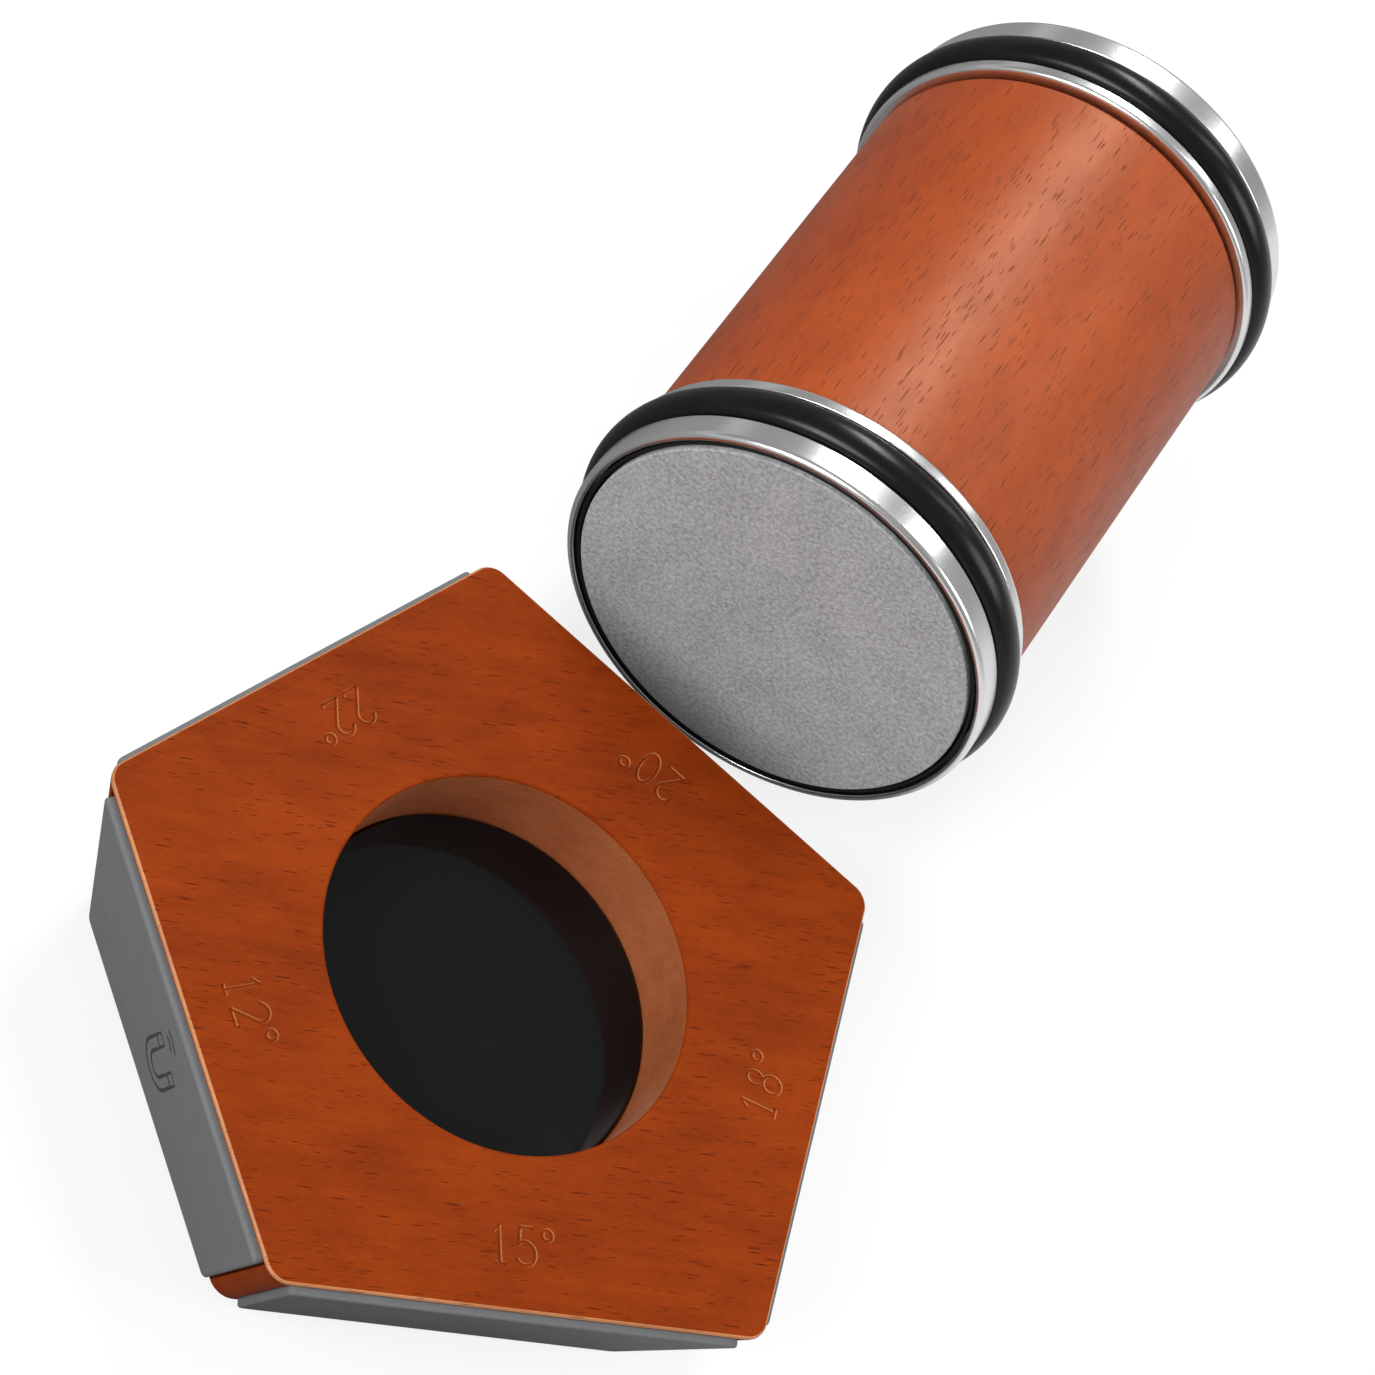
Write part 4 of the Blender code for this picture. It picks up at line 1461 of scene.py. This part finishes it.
@dataclass
class Engraver:
    """Draws numbers as thin round lines, for cutting into the block's top.

    Attributes:
        height: The digits' height.
        line: Half a line's width.
        advance: From one sign to the next, in heights.
        ring_width: The degree ring's width, in heights.
    """

    height: float
    line: float
    advance: float = 0.72
    ring_width: float = 0.32

    @staticmethod
    def strokes(sign: str) -> list[list[Pair]]:
        """The lines of one digit, with a height of one.

        Args:
            sign: The digit, or d for the degree ring.

        Returns:
            The lines, each a list of points.
        """
        shapes = {
            "1": [[(0.27, 1.0), (0.27, 0.0)], [(0.10, 0.80), (0.27, 1.0)],
                  [(0.12, 0.0), (0.42, 0.0)]],
            "2": [bow((0.27, 0.74), 0.24, 0.26, 165, -25, 16) + [(0.04, 0.0)],
                  [(0.04, 0.0), (0.54, 0.0)], [(0.54, 0.0), (0.54, 0.10)]],
            "5": [[(0.50, 1.0), (0.13, 1.0)], [(0.13, 1.0), (0.08, 0.53)],
                  bow((0.25, 0.33), 0.28, 0.31, 142, -150, 16)],
            "8": [bow((0.27, 0.76), 0.19, 0.24, 0, 360, 20),
                  bow((0.27, 0.26), 0.25, 0.26, 0, 360, 24)],
            "0": [bow((0.27, 0.5), 0.24, 0.5, 0, 360, 28)],
            "d": [bow((0.16, 0.86), 0.14, 0.14, 0, 360, 16)],
        }
        return shapes[sign]

    def number(self, value: int, middle: Vector, up: Vector) -> bpy.types.Object:
        """The lines of a number of degrees.

        Args:
            value: The number.
            middle: The middle of the number, on the surface.
            up: The level direction of the digits' tops.

        Returns:
            All its lines in one cutter.
        """
        upward = Vector((up.x, up.y, 0)).normalized()
        along = upward.cross(Vector((0, 0, 1)))
        signs = [*str(value), "d"]
        half = (self.advance * (len(signs) - 1) + self.ring_width) / 2
        tubes = []
        for place, sign in enumerate(signs):
            for stroke in self.strokes(sign):
                tubes.append(self.tube([
                    middle + self.height * (along * (x + place * self.advance - half)
                                            + upward * (y - 0.5)) for x, y in stroke]))
        return join(tubes, "number_cutter")

    def tube(self, points: Sequence[Vector]) -> bpy.types.Object:
        """A round line through points, made a mesh.

        Args:
            points: The points.

        Returns:
            The tube.
        """
        closed = (points[0] - points[-1]).length < self.line
        curve = bpy.data.curves.new("stroke", "CURVE")
        curve.dimensions = "3D"
        curve.bevel_depth = self.line
        curve.bevel_resolution = 2
        curve.use_fill_caps = True
        spline = curve.splines.new("POLY")
        used = points[:-1] if closed else points
        spline.points.add(len(used) - 1)
        for target, point in zip(spline.points, used):
            target.co = (*point, 1.0)
        spline.use_cyclic_u = closed
        pick(add_object("stroke", curve))
        bpy.ops.object.convert(target="MESH")
        piece = bpy.context.active_object
        edit(piece)
        close_up(piece)
        return piece


@dataclass
class MagnetSign:
    """A horseshoe magnet in thin outline, with two arcs at one pole.

    Attributes:
        size: The length that the shares below are taken of.
        line: Half a line's width.
        proud: How far the ink stands out of the pad.
        tilt: How far it is turned on the pad, in degrees.
        outer: The bow's outer radius, as a share of the size.
        inner: Its inner radius.
        bend: Where the bow's middle lies, up from the sign's middle.
        arm: The arms' length.
        tip: The length of the poles' ends.
        arc_radii: The radii of the two arcs.
        arc_span: The angles between which they run, in degrees.
    """

    size: float = 7.0 * MM
    line: float = 0.24 * MM
    proud: float = 0.02 * MM
    tilt: float = -12.0
    outer: float = 0.44
    inner: float = 0.22
    bend: float = -0.30
    arm: float = 0.72
    tip: float = 0.26
    arc_radii: Pair = (0.32, 0.50)
    arc_span: Pair = (66, 114)

    def lines(self) -> list[list[Pair]]:
        """The sign's lines, about its middle, as shares of its size.

        Returns:
            The lines, each a list of points.
        """
        outer, inner, top = self.outer, self.inner, self.bend + self.arm
        big, small = (arc((0.0, self.bend), radius, 180, 360, 20) for radius in (outer, inner))
        outline = [(-outer, top), *big, (outer, top), (inner, top), *small[::-1], (-inner, top),
                   (-outer, top)]
        poles = [[(-outer, top - self.tip), (-inner, top - self.tip)],
                 [(inner, top - self.tip), (outer, top - self.tip)]]
        arcs = [arc((-inner, top), radius, *self.arc_span, 8) for radius in self.arc_radii]
        return [outline, *poles, *arcs]

    def build(self, place: Matrix) -> bpy.types.Object:
        """Build the sign flat on a surface.

        Args:
            place: The surface's frame at the sign, with Z out of it.

        Returns:
            The sign.
        """
        engraver = Engraver(self.size, self.line)
        sign = join([engraver.tube([Vector((x * self.size, y * self.size, 0)) for x, y in line])
                     for line in self.lines()], "magnet_sign")
        sign.data.name = "magnet_sign"
        sign.scale = (1, 1, self.proud / self.line)
        settle(sign)
        sign.matrix_world = place @ Matrix.Rotation(math.radians(self.tilt), 4, "Z")
        settle(sign)
        shade(sign)
        return sign


@dataclass
class Roller(Assembly):
    """The grip with its two wheels. Faces and floors are given by their distance from the middle.

    Attributes:
        middle: The middle of the roller.
        steps: How many faces go round a turned piece.
        fit_gap: The gap between neighbouring pieces.
        barrel_radius: The grip's radius.
        barrel_half: Half the grip's length.
        barrel_edge: The rounding of its ends.
        bore_radius: The grip's bore.
        seat_radius: Its bearing seats.
        seat_floor: A seat's floor.
        flange_face: A wheel's inner face.
        flange_width: The flange's width.
        flange_radius: The flange's radius.
        flange_bead: The rounding of its edge against the grip.
        groove_width: The tyre groove's width.
        groove_radius: Its radius.
        groove_edge: The rounding of its two edges.
        rim_radius: The rim's radius.
        rim_face: The rim's face.
        rim_nose: The rounding of its outer edge.
        rim_lip: The rounding of its inner edge.
        hub_radius: The hub's radius.
        hub_end: The hub's end.
        socket_radius: The socket for the axle.
        socket_floor: Its floor.
        screw_hole: The radius of the screw's hole.
        cone_floor: Where the hole starts to widen for the screw's head.
        head_radius: The hole's radius round the head.
        head_floor: Where the widening ends.
        pocket_radius: The radius of the pocket for cup and plate.
        pocket_floor: The pocket's floor.
        tyre_radius: The tyre's radius.
        tyre_drop: From its crown down to its shoulders.
        tyre_fullness: How full its crown is, 1 for half an ellipse and less for fuller.
        cup_wall: The cup's wall.
        cup_drop: How far the wall's edge lies below the rim's face.
        cup_floor: The thickness of the cup's floor.
        cup_edge: The rounding of the wall's edge.
        plate_radius: A plate's radius.
        plate_face: A plate's face.
        plate_back: Its back.
        plate_edge: The rounding of its edge.
        honing_rings: How many ring grooves the honing plate has.
        ring_first: The first ring groove's radius.
        ring_pitch: From one ring groove to the next.
        ring_half: Half a ring groove's width.
        ring_depth: Its depth.
    """

    middle: Vector = field(default_factory=lambda: Vector(ROLLER_CENTRE))
    steps: int = 160
    fit_gap: float = 0.3 * MM
    barrel_radius: float = 27.5 * MM
    barrel_half: float = 33.5 * MM
    barrel_edge: float = 0.6 * MM
    bore_radius: float = 8.2 * MM
    seat_radius: float = 11.3 * MM
    seat_floor: float = 25.2 * MM
    flange_face: float = 33.9 * MM
    flange_width: float = 1.8 * MM
    flange_radius: float = 28.8 * MM
    flange_bead: float = 0.6 * MM
    groove_width: float = 5.6 * MM
    groove_radius: float = 24.5 * MM
    groove_edge: float = 0.25 * MM
    rim_radius: float = 28.7 * MM
    rim_face: float = 45.2 * MM
    rim_nose: float = 0.8 * MM
    rim_lip: float = 0.3 * MM
    hub_radius: float = 5.6 * MM
    hub_end: float = 32.8 * MM
    socket_radius: float = 4.0 * MM
    socket_floor: float = 36.9 * MM
    screw_hole: float = 2.8 * MM
    cone_floor: float = 38.99 * MM
    head_radius: float = 5.1 * MM
    head_floor: float = 41.3 * MM
    pocket_radius: float = 27.6 * MM
    pocket_floor: float = 42.3 * MM
    tyre_radius: float = 30.0 * MM
    tyre_drop: float = 1.9 * MM
    tyre_fullness: float = 0.9
    cup_wall: float = 0.5 * MM
    cup_drop: float = 0.3 * MM
    cup_floor: float = 0.8 * MM
    cup_edge: float = 0.2 * MM
    plate_radius: float = 26.5 * MM
    plate_face: float = 45.3 * MM
    plate_back: float = 43.7 * MM
    plate_edge: float = 0.25 * MM
    honing_rings: int = 4
    ring_first: float = 5.4 * MM
    ring_pitch: float = 5.2 * MM
    ring_half: float = 0.5 * MM
    ring_depth: float = 0.35 * MM

    def turned(self, name: str, profile: Sequence[Pair], end: WheelEnd) -> bpy.types.Object:
        """Turn a piece about the roller's axis.

        Args:
            name: The piece's name.
            profile: Points as radius and distance outwards from the middle.
            end: The end that it belongs to.

        Returns:
            The turned piece.
        """
        points = [self.middle + Vector((0, end.value * out, radius)) for radius, out in profile]
        piece = turn_on_lathe(name, points, self.middle, Vector((0, 1, 0)), self.steps)
        shade(piece, weighted=True)
        return piece

    def build_grip(self) -> bpy.types.Object:
        """The wooden grip, with rounded ends and a bearing seat in each.

        Returns:
            The grip.
        """
        edge, half = self.barrel_edge, self.barrel_half
        round_end = arc((self.barrel_radius - edge, half - edge), edge, 90, 0, 6)
        other_end = [(radius, -out) for radius, out in reversed(round_end)]
        profile = [(self.seat_radius, half), *round_end, *other_end, (self.seat_radius, -half),
                   (self.seat_radius, -self.seat_floor), (self.bore_radius, -self.seat_floor),
                   (self.bore_radius, self.seat_floor), (self.seat_radius, self.seat_floor),
                   (self.seat_radius, half)]
        return self.turned("beech_grip", profile, WheelEnd.HONING)

    def build_wheel(self, end: WheelEnd) -> bpy.types.Object:
        """A steel wheel: rounded rim, tyre groove, bead flange and hub.

        Args:
            end: The wheel's end.

        Returns:
            The wheel.
        """
        groove_in = self.flange_face + self.flange_width
        groove_out = groove_in + self.groove_width
        rim, flange, face = self.rim_radius, self.flange_radius, self.rim_face
        edge, bead, lip, nose = self.groove_edge, self.flange_bead, self.rim_lip, self.rim_nose
        profile = [
            *arc((self.pocket_radius + lip, face - lip), lip, 180, 90, 4),
            *arc((rim - nose, face - nose), nose, 90, 0, 8),
            *arc((rim - edge, groove_out + edge), edge, 0, -90, 4),
            (self.groove_radius, groove_out),
            (self.groove_radius, groove_in),
            *arc((flange - edge, groove_in - edge), edge, 90, 0, 3),
            *arc((flange - bead, self.flange_face + bead), bead, 0, -90, 6),
            (self.hub_radius, self.flange_face),
            (self.hub_radius, self.hub_end),
            (self.socket_radius, self.hub_end),
            (self.socket_radius, self.socket_floor),
            (self.screw_hole, self.socket_floor),
            (self.screw_hole, self.cone_floor),
            (self.head_radius, self.head_floor),
            (self.head_radius, self.pocket_floor),
            (self.pocket_radius, self.pocket_floor),
            (self.pocket_radius, face - lip),
        ]
        return self.turned(f"{end.label}_steel_wheel", profile, end)

    def build_tyre(self, end: WheelEnd) -> bpy.types.Object:
        """A rubber tyre with a round crown.

        Args:
            end: The tyre's end.

        Returns:
            The tyre.
        """
        inner = self.flange_face + self.flange_width + self.fit_gap
        outer = inner + self.groove_width - 2 * self.fit_gap
        middle = (inner + outer) / 2
        half = (outer - inner) / 2
        shoulder = self.tyre_radius - self.tyre_drop
        crown = []
        for i in range(25):
            angle = math.radians(90 - 180 * i / 24)
            lift = abs(math.cos(angle)) ** self.tyre_fullness
            crown.append((shoulder + self.tyre_drop * lift, middle + half * math.sin(angle)))
        root = self.groove_radius + self.fit_gap
        profile = [(root, outer), *crown, (root, inner), (root, outer)]
        return self.turned(f"{end.label}_tyre_ring", profile, end)

    def build_cup(self, end: WheelEnd) -> bpy.types.Object:
        """The black magnetic cup round a plate; its black wall also stands in for the shade in the
        gap between plate and rim.

        Args:
            end: The cup's end.

        Returns:
            The cup.
        """
        edge = self.cup_edge
        radius = self.pocket_radius - self.fit_gap
        inside = radius - self.cup_wall
        rim = self.rim_face - self.cup_drop
        floor = self.plate_back - self.fit_gap
        back = floor - self.cup_floor
        profile = [(0.0, floor), (inside, floor), (inside, rim - edge),
                   *arc((inside + edge, rim - edge), edge, 180, 90, 3)[1:],
                   *arc((radius - edge, rim - edge), edge, 90, 0, 3), (radius, back), (0.0, back)]
        return self.turned(f"{end.label}_cup_ring", profile, end)

    def build_plate(self, end: WheelEnd) -> bpy.types.Object:
        """A plate with a softened edge, and round-bottomed ring grooves on the honing plate.

        Args:
            end: The plate's end.

        Returns:
            The plate.
        """
        face, back, edge = self.plate_face, self.plate_back, self.plate_edge
        profile = [(0.0, face)]
        for i in range(self.honing_rings if end is WheelEnd.HONING else 0):
            ring = self.ring_first + self.ring_pitch * i
            profile += [(ring - self.ring_half * math.cos(a), face - self.ring_depth * math.sin(a))
                        for a in (math.pi * k / 8 for k in range(9))]
        profile += [*arc((self.plate_radius - edge, face - edge), edge, 90, 0, 4),
                    (self.plate_radius, back + edge), (self.plate_radius - edge, back), (0.0, back)]
        return self.turned(f"{end.label}_working_plate", profile, end)

    def build(self, frame: dict) -> None:
        """Build and fit every piece of the roller.

        Args:
            frame: The loaded frame.
        """
        self.fit(self.build_grip(), GRIP_BEECH, "grip", "barrel_wood", "grip_barrel")
        for end in WheelEnd:
            name = end.label
            self.fit(self.build_wheel(end), RIM_STEEL, "wheelset", "polished_steel",
                     f"{name}_wheel")
            self.fit(self.build_tyre(end), TYRE_RUBBER, "wheelset", "tyre_rubber", f"{name}_tyre")
            self.fit(self.build_cup(end), CUP_RUBBER_AND_GAP_SHADE, "wheelset", "magnet_rubber",
                     f"{name}_magnet_cup")
            finish, slot = ((HONING_STEEL, "honing_steel") if end is WheelEnd.HONING
                            else (DIAMOND_GRIT, "diamond_grit"))
            self.fit(self.build_plate(end), finish, "wheelset", slot, f"{name}_plate")
        self.dress_nodes(frame, BEARING_STEEL, "axle", "spacer_tube", "wheel_screw", "ring", "ball")
        self.dress_nodes(frame, CAGE_BRASS, "bearing_cage")


ROLLER_CENTRE = (0.0, 103.7734 * MM, 30.0 * MM)
BLOCK_BEECH = StainedBeech(
    "block_beech", heading=36.0, stain=(0.287, 0.041, 0.0024), deep_stain=(0.150, 0.0172, 0.0013),
    fleck_stain=(0.055, 0.006, 0.001), fleck_size=0.8, mottle=0.9, gloss=0.01, dullness=0.45,
    specular=0.04)
# A lighter stain: worn wood with a painted highlight on the top's rounded edges, and a painted
# highlight on the engraved walls.
WORN_AND_HIGHLIT_BEECH = StainedBeech(
    "worn_and_highlit_beech_edge", heading=36.0, stain=(0.58, 0.25, 0.10), deep_stain=(0.40, 0.13, 0.04),
    fleck_stain=(0.16, 0.03, 0.01), fleck_size=0.8, gloss=0.3, dullness=0.4)
# A lighter copy of the block's stain for the recess's wall: painted light.
LIT_RECESS_BEECH = StainedBeech(
    "lit_recess_beech", heading=36.0, stain=(0.45, 0.14, 0.05), deep_stain=(0.30, 0.075, 0.025),
    fleck_stain=(0.18, 0.04, 0.013), gloss=0.1, dullness=0.45, specular=0.3)
GRIP_BEECH = StainedBeech(
    "grip_beech", centre=ROLLER_CENTRE, heading=90.0, stain=(0.40, 0.063, 0.007),
    deep_stain=(0.25, 0.029, 0.003), fleck_stain=(0.085, 0.010, 0.002), fleck_share=1.5,
    mottle=0.85, gloss=0.02, dullness=0.44, specular=0.42, tint=(1.0, 1.0, 0.72))
RIM_STEEL = TurnedSteel(
    "rim_steel", centre=ROLLER_CENTRE, colour=(0.80, 0.805, 0.80), dullness=0.21, spread=0.05,
    relief=0.0001 * MM)
HONING_STEEL = TurnedSteel(
    "honing_steel", centre=ROLLER_CENTRE, colour=(0.58, 0.58, 0.58), dullness=0.26, spread=0.16,
    relief=0.006 * MM, fineness=0.7)
BEARING_STEEL = TurnedSteel(
    "bearing_steel", centre=ROLLER_CENTRE, colour=(0.6, 0.61, 0.62), dullness=0.2)
CAGE_BRASS = TurnedSteel(
    "cage_brass", centre=ROLLER_CENTRE, colour=(0.68, 0.46, 0.18), dullness=0.3)
NICKEL = TurnedSteel("nickel_magnet", colour=(0.66, 0.63, 0.58), dullness=0.22)
TYRE_RUBBER = Grained(
    "tyre_rubber", centre=ROLLER_CENTRE, light=(0.007, 0.007, 0.008), dark=(0.004, 0.004, 0.005),
    fineness=1.6, relief=0.003 * MM, dullness=0.24, spread=0.06, specular=0.22)
FOOT_RUBBER = Grained(
    "foot_rubber", light=(0.018, 0.018, 0.019), dark=(0.011, 0.011, 0.012), fineness=1.2,
    relief=0.015 * MM, dullness=0.6)
# Near-black rubber of the cup; its wall is also painted shade for the gap round the plate.
CUP_RUBBER_AND_GAP_SHADE = Grained(
    "cup_rubber_and_gap_shade", centre=ROLLER_CENTRE, light=(0.008, 0.008, 0.008), dark=(0.004, 0.004, 0.004),
    fineness=1.6, relief=0.004 * MM, dullness=0.55, specular=0.25)
PAD_GREY = Grained(
    "pad_grey", light=(0.186, 0.190, 0.197), dark=(0.158, 0.162, 0.168), fineness=1.3,
    relief=0.008 * MM, specular=0.08)
SIGN_INK = Grained(
    "sign_ink", light=(0.062, 0.067, 0.072), dark=(0.05, 0.054, 0.058), fineness=2.0,
    relief=0.004 * MM, specular=0.08)
DIAMOND_GRIT = Grained(
    "diamond_grit", centre=ROLLER_CENTRE, light=(0.56, 0.57, 0.575), dark=(0.28, 0.285, 0.29),
    fineness=0.68, relief=0.09 * MM, dullness=0.6, spread=0.2)
RECESS_GLOSS = GlossBlack("recess_gloss")


@dataclass(frozen=True)
class Panel:
    """A soft panel light that faces the object.

    Attributes:
        name: The light's name.
        place: Where it stands.
        size: Its width and height.
        power: Its power in watts.
    """

    name: str
    place: Triple
    size: tuple[float, float]
    power: float


PANELS = (Panel("far_right_strip", (0.42, 0.86, 0.94), (0.13, 0.6), 1.5),
          Panel("far_left_strip", (-0.34, 0.85, 0.98), (0.20, 0.6), 8.5),
          Panel("left_panel", (-0.64, -0.84, 0.80), (0.7, 0.5), 13.5),
          Panel("right_panel", (0.98, 0.30, 0.78), (0.6, 0.5), 5.0))


@dataclass
class Studio:
    """The pale floor, the soft lights and the camera.

    Attributes:
        azimuth: The camera's heading, 0 for along Y, in degrees.
        elevation: How far above level it stands, in degrees.
        roll: How far the picture is turned, in degrees.
        distance: From the camera to the middle of the picture.
        focal: The lens in pixels of the photograph's frame.
        target: The point in the middle of the picture.
        lamp_target: The point that the panels face.
        floor_size: The floor's width.
        floor_tones: The floor's darker and lighter grey.
        floor_glow: How bright the floor looks to the camera by itself.
        floor_sheen: How bright the floor glows in reflections only, to the right of the object: a
            painted reflection.
        horizon: The room's brightness at the horizon.
        wall: Its brightness above that.
        ceiling: Its brightness overhead.
    """

    azimuth: float = -10.0
    elevation: float = 51.0
    roll: float = 49.5
    distance: float = 590.0 * MM
    focal: float = 4850.0
    target: Triple = (-2.5 * MM, 48.0 * MM, 23.0 * MM)
    lamp_target: Triple = (0.0, 50.0 * MM, 20.0 * MM)
    floor_size: float = 6.0
    floor_tones: tuple[float, float] = (0.21, 0.23)
    floor_glow: float = 0.78
    floor_sheen: float = 0.60
    horizon: float = 0.55
    wall: float = 0.29
    ceiling: float = 0.34

    def axes(self) -> tuple[Vector, Vector, Vector]:
        """The camera's right, up and backward directions."""
        a, e, r = (math.radians(angle) for angle in (self.azimuth, self.elevation, self.roll))
        back = Vector((math.sin(a) * math.cos(e), -math.cos(a) * math.cos(e), math.sin(e)))
        level = Vector((math.cos(a), math.sin(a), 0))
        upright = back.cross(level)
        right = math.cos(r) * level + math.sin(r) * upright
        up = -math.sin(r) * level + math.cos(r) * upright
        return right, up, back

    def add_camera(self) -> None:
        """Add the camera and make it the scene's own."""
        right, up, back = self.axes()
        data = bpy.data.cameras.new("camera")
        data.sensor_width = SENSOR_WIDTH
        data.lens = self.focal * SENSOR_WIDTH / PHOTO_SIZE
        data.clip_start = 0.05
        data.clip_end = 20
        camera = add_object("camera", data)
        turn = Matrix((right, up, back)).transposed().to_4x4()
        place = Vector(self.target) + back * self.distance
        camera.matrix_world = Matrix.Translation(place) @ turn
        bpy.context.scene.camera = camera

    def add_panel(self, panel: Panel) -> None:
        """Add a panel light.

        Args:
            panel: The light.
        """
        data = bpy.data.lights.new(panel.name, "AREA")
        data.shape = "RECTANGLE"
        data.size, data.size_y = panel.size
        data.energy = panel.power
        light = add_object(panel.name, data)
        place = Vector(panel.place)
        aim = Vector(self.lamp_target) - place
        turn = aim.to_track_quat("-Z", "Y").to_matrix().to_4x4()
        light.matrix_world = Matrix.Translation(place) @ turn

    def add_floor(self) -> None:
        """Add the pale floor, which looks near white and keeps the object's shadow, and which glows
        in reflections only, brighter to the right of the object: a painted reflection.
        """
        deselect_all()
        bpy.ops.mesh.primitive_grid_add(x_subdivisions=24, y_subdivisions=24, size=self.floor_size,
                                        location=(0, 0, 0))
        floor = bpy.context.active_object
        floor.name = "floor"
        material = bpy.data.materials.new("pale_floor")
        material.use_nodes = True
        bench = NodeBench(material.node_tree)
        shader = material.node_tree.nodes["Principled BSDF"]
        where = bench.add("ShaderNodeTexCoord").outputs["Object"]
        tones = [opaque((tone, tone, tone)) for tone in self.floor_tones]
        paths = bench.add("ShaderNodeLightPath").outputs
        seen = bench.math("MAXIMUM", paths["Is Camera Ray"], paths["Is Transmission Ray"])
        across = bench.add("ShaderNodeSeparateXYZ", {0: where}).outputs[0]
        # Painted reflection: the floor glows in reflections only, brighter to the right of the
        # object.
        painted_reflection = bench.math("MULTIPLY", paths["Is Glossy Ray"],
                           bench.ramp(across, 30 * MM, 60 * MM, 0.0, self.floor_sheen))
        glow = bench.math("ADD", bench.math("MULTIPLY", seen, self.floor_glow), painted_reflection)
        bench.feed(shader, {"Base Color": bench.blend(bench.noise(where, 40.0, 2.0), *tones),
                            "Roughness": 0.9, "Specular IOR Level": 0.1, "Emission Color": WHITE,
                            "Emission Strength": glow})
        floor.data.materials.append(material)

    def add_world(self) -> None:
        """Light the scene from a room that is bright at the horizon and greyer above it."""
        world = bpy.data.worlds.new("studio")
        bpy.context.scene.world = world
        world.use_nodes = True
        bench = NodeBench(world.node_tree)
        background = world.node_tree.nodes["Background"]
        heading = bench.add("ShaderNodeTexCoord").outputs["Generated"]
        height = bench.add("ShaderNodeSeparateXYZ", {0: heading}).outputs[2]
        low = bench.ramp(height, 0.10, 0.24, self.horizon, self.wall)
        high = bench.ramp(height, 0.45, 0.95, 0.0, self.ceiling - self.wall)
        bench.feed(background, {"Color": WHITE, "Strength": bench.math("ADD", low, high)})

    def build(self) -> None:
        """Add everything."""
        self.add_floor()
        self.add_world()
        for panel in PANELS:
            self.add_panel(panel)
        self.add_camera()
        bpy.context.scene.view_settings.view_transform = "Standard"
        LOG.info("studio: floor, room, %d panels and camera", len(PANELS))


def main() -> None:
    """Build the sharpener's look round its frame."""
    logging.basicConfig(level=logging.INFO, format="%(name)s: %(message)s")
    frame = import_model()
    effects = Effects()
    AngleBlock(effects).build(frame)
    Roller(effects).build(frame)
    Studio().build()
    deselect_all()


if __name__ == "__main__":
    main()
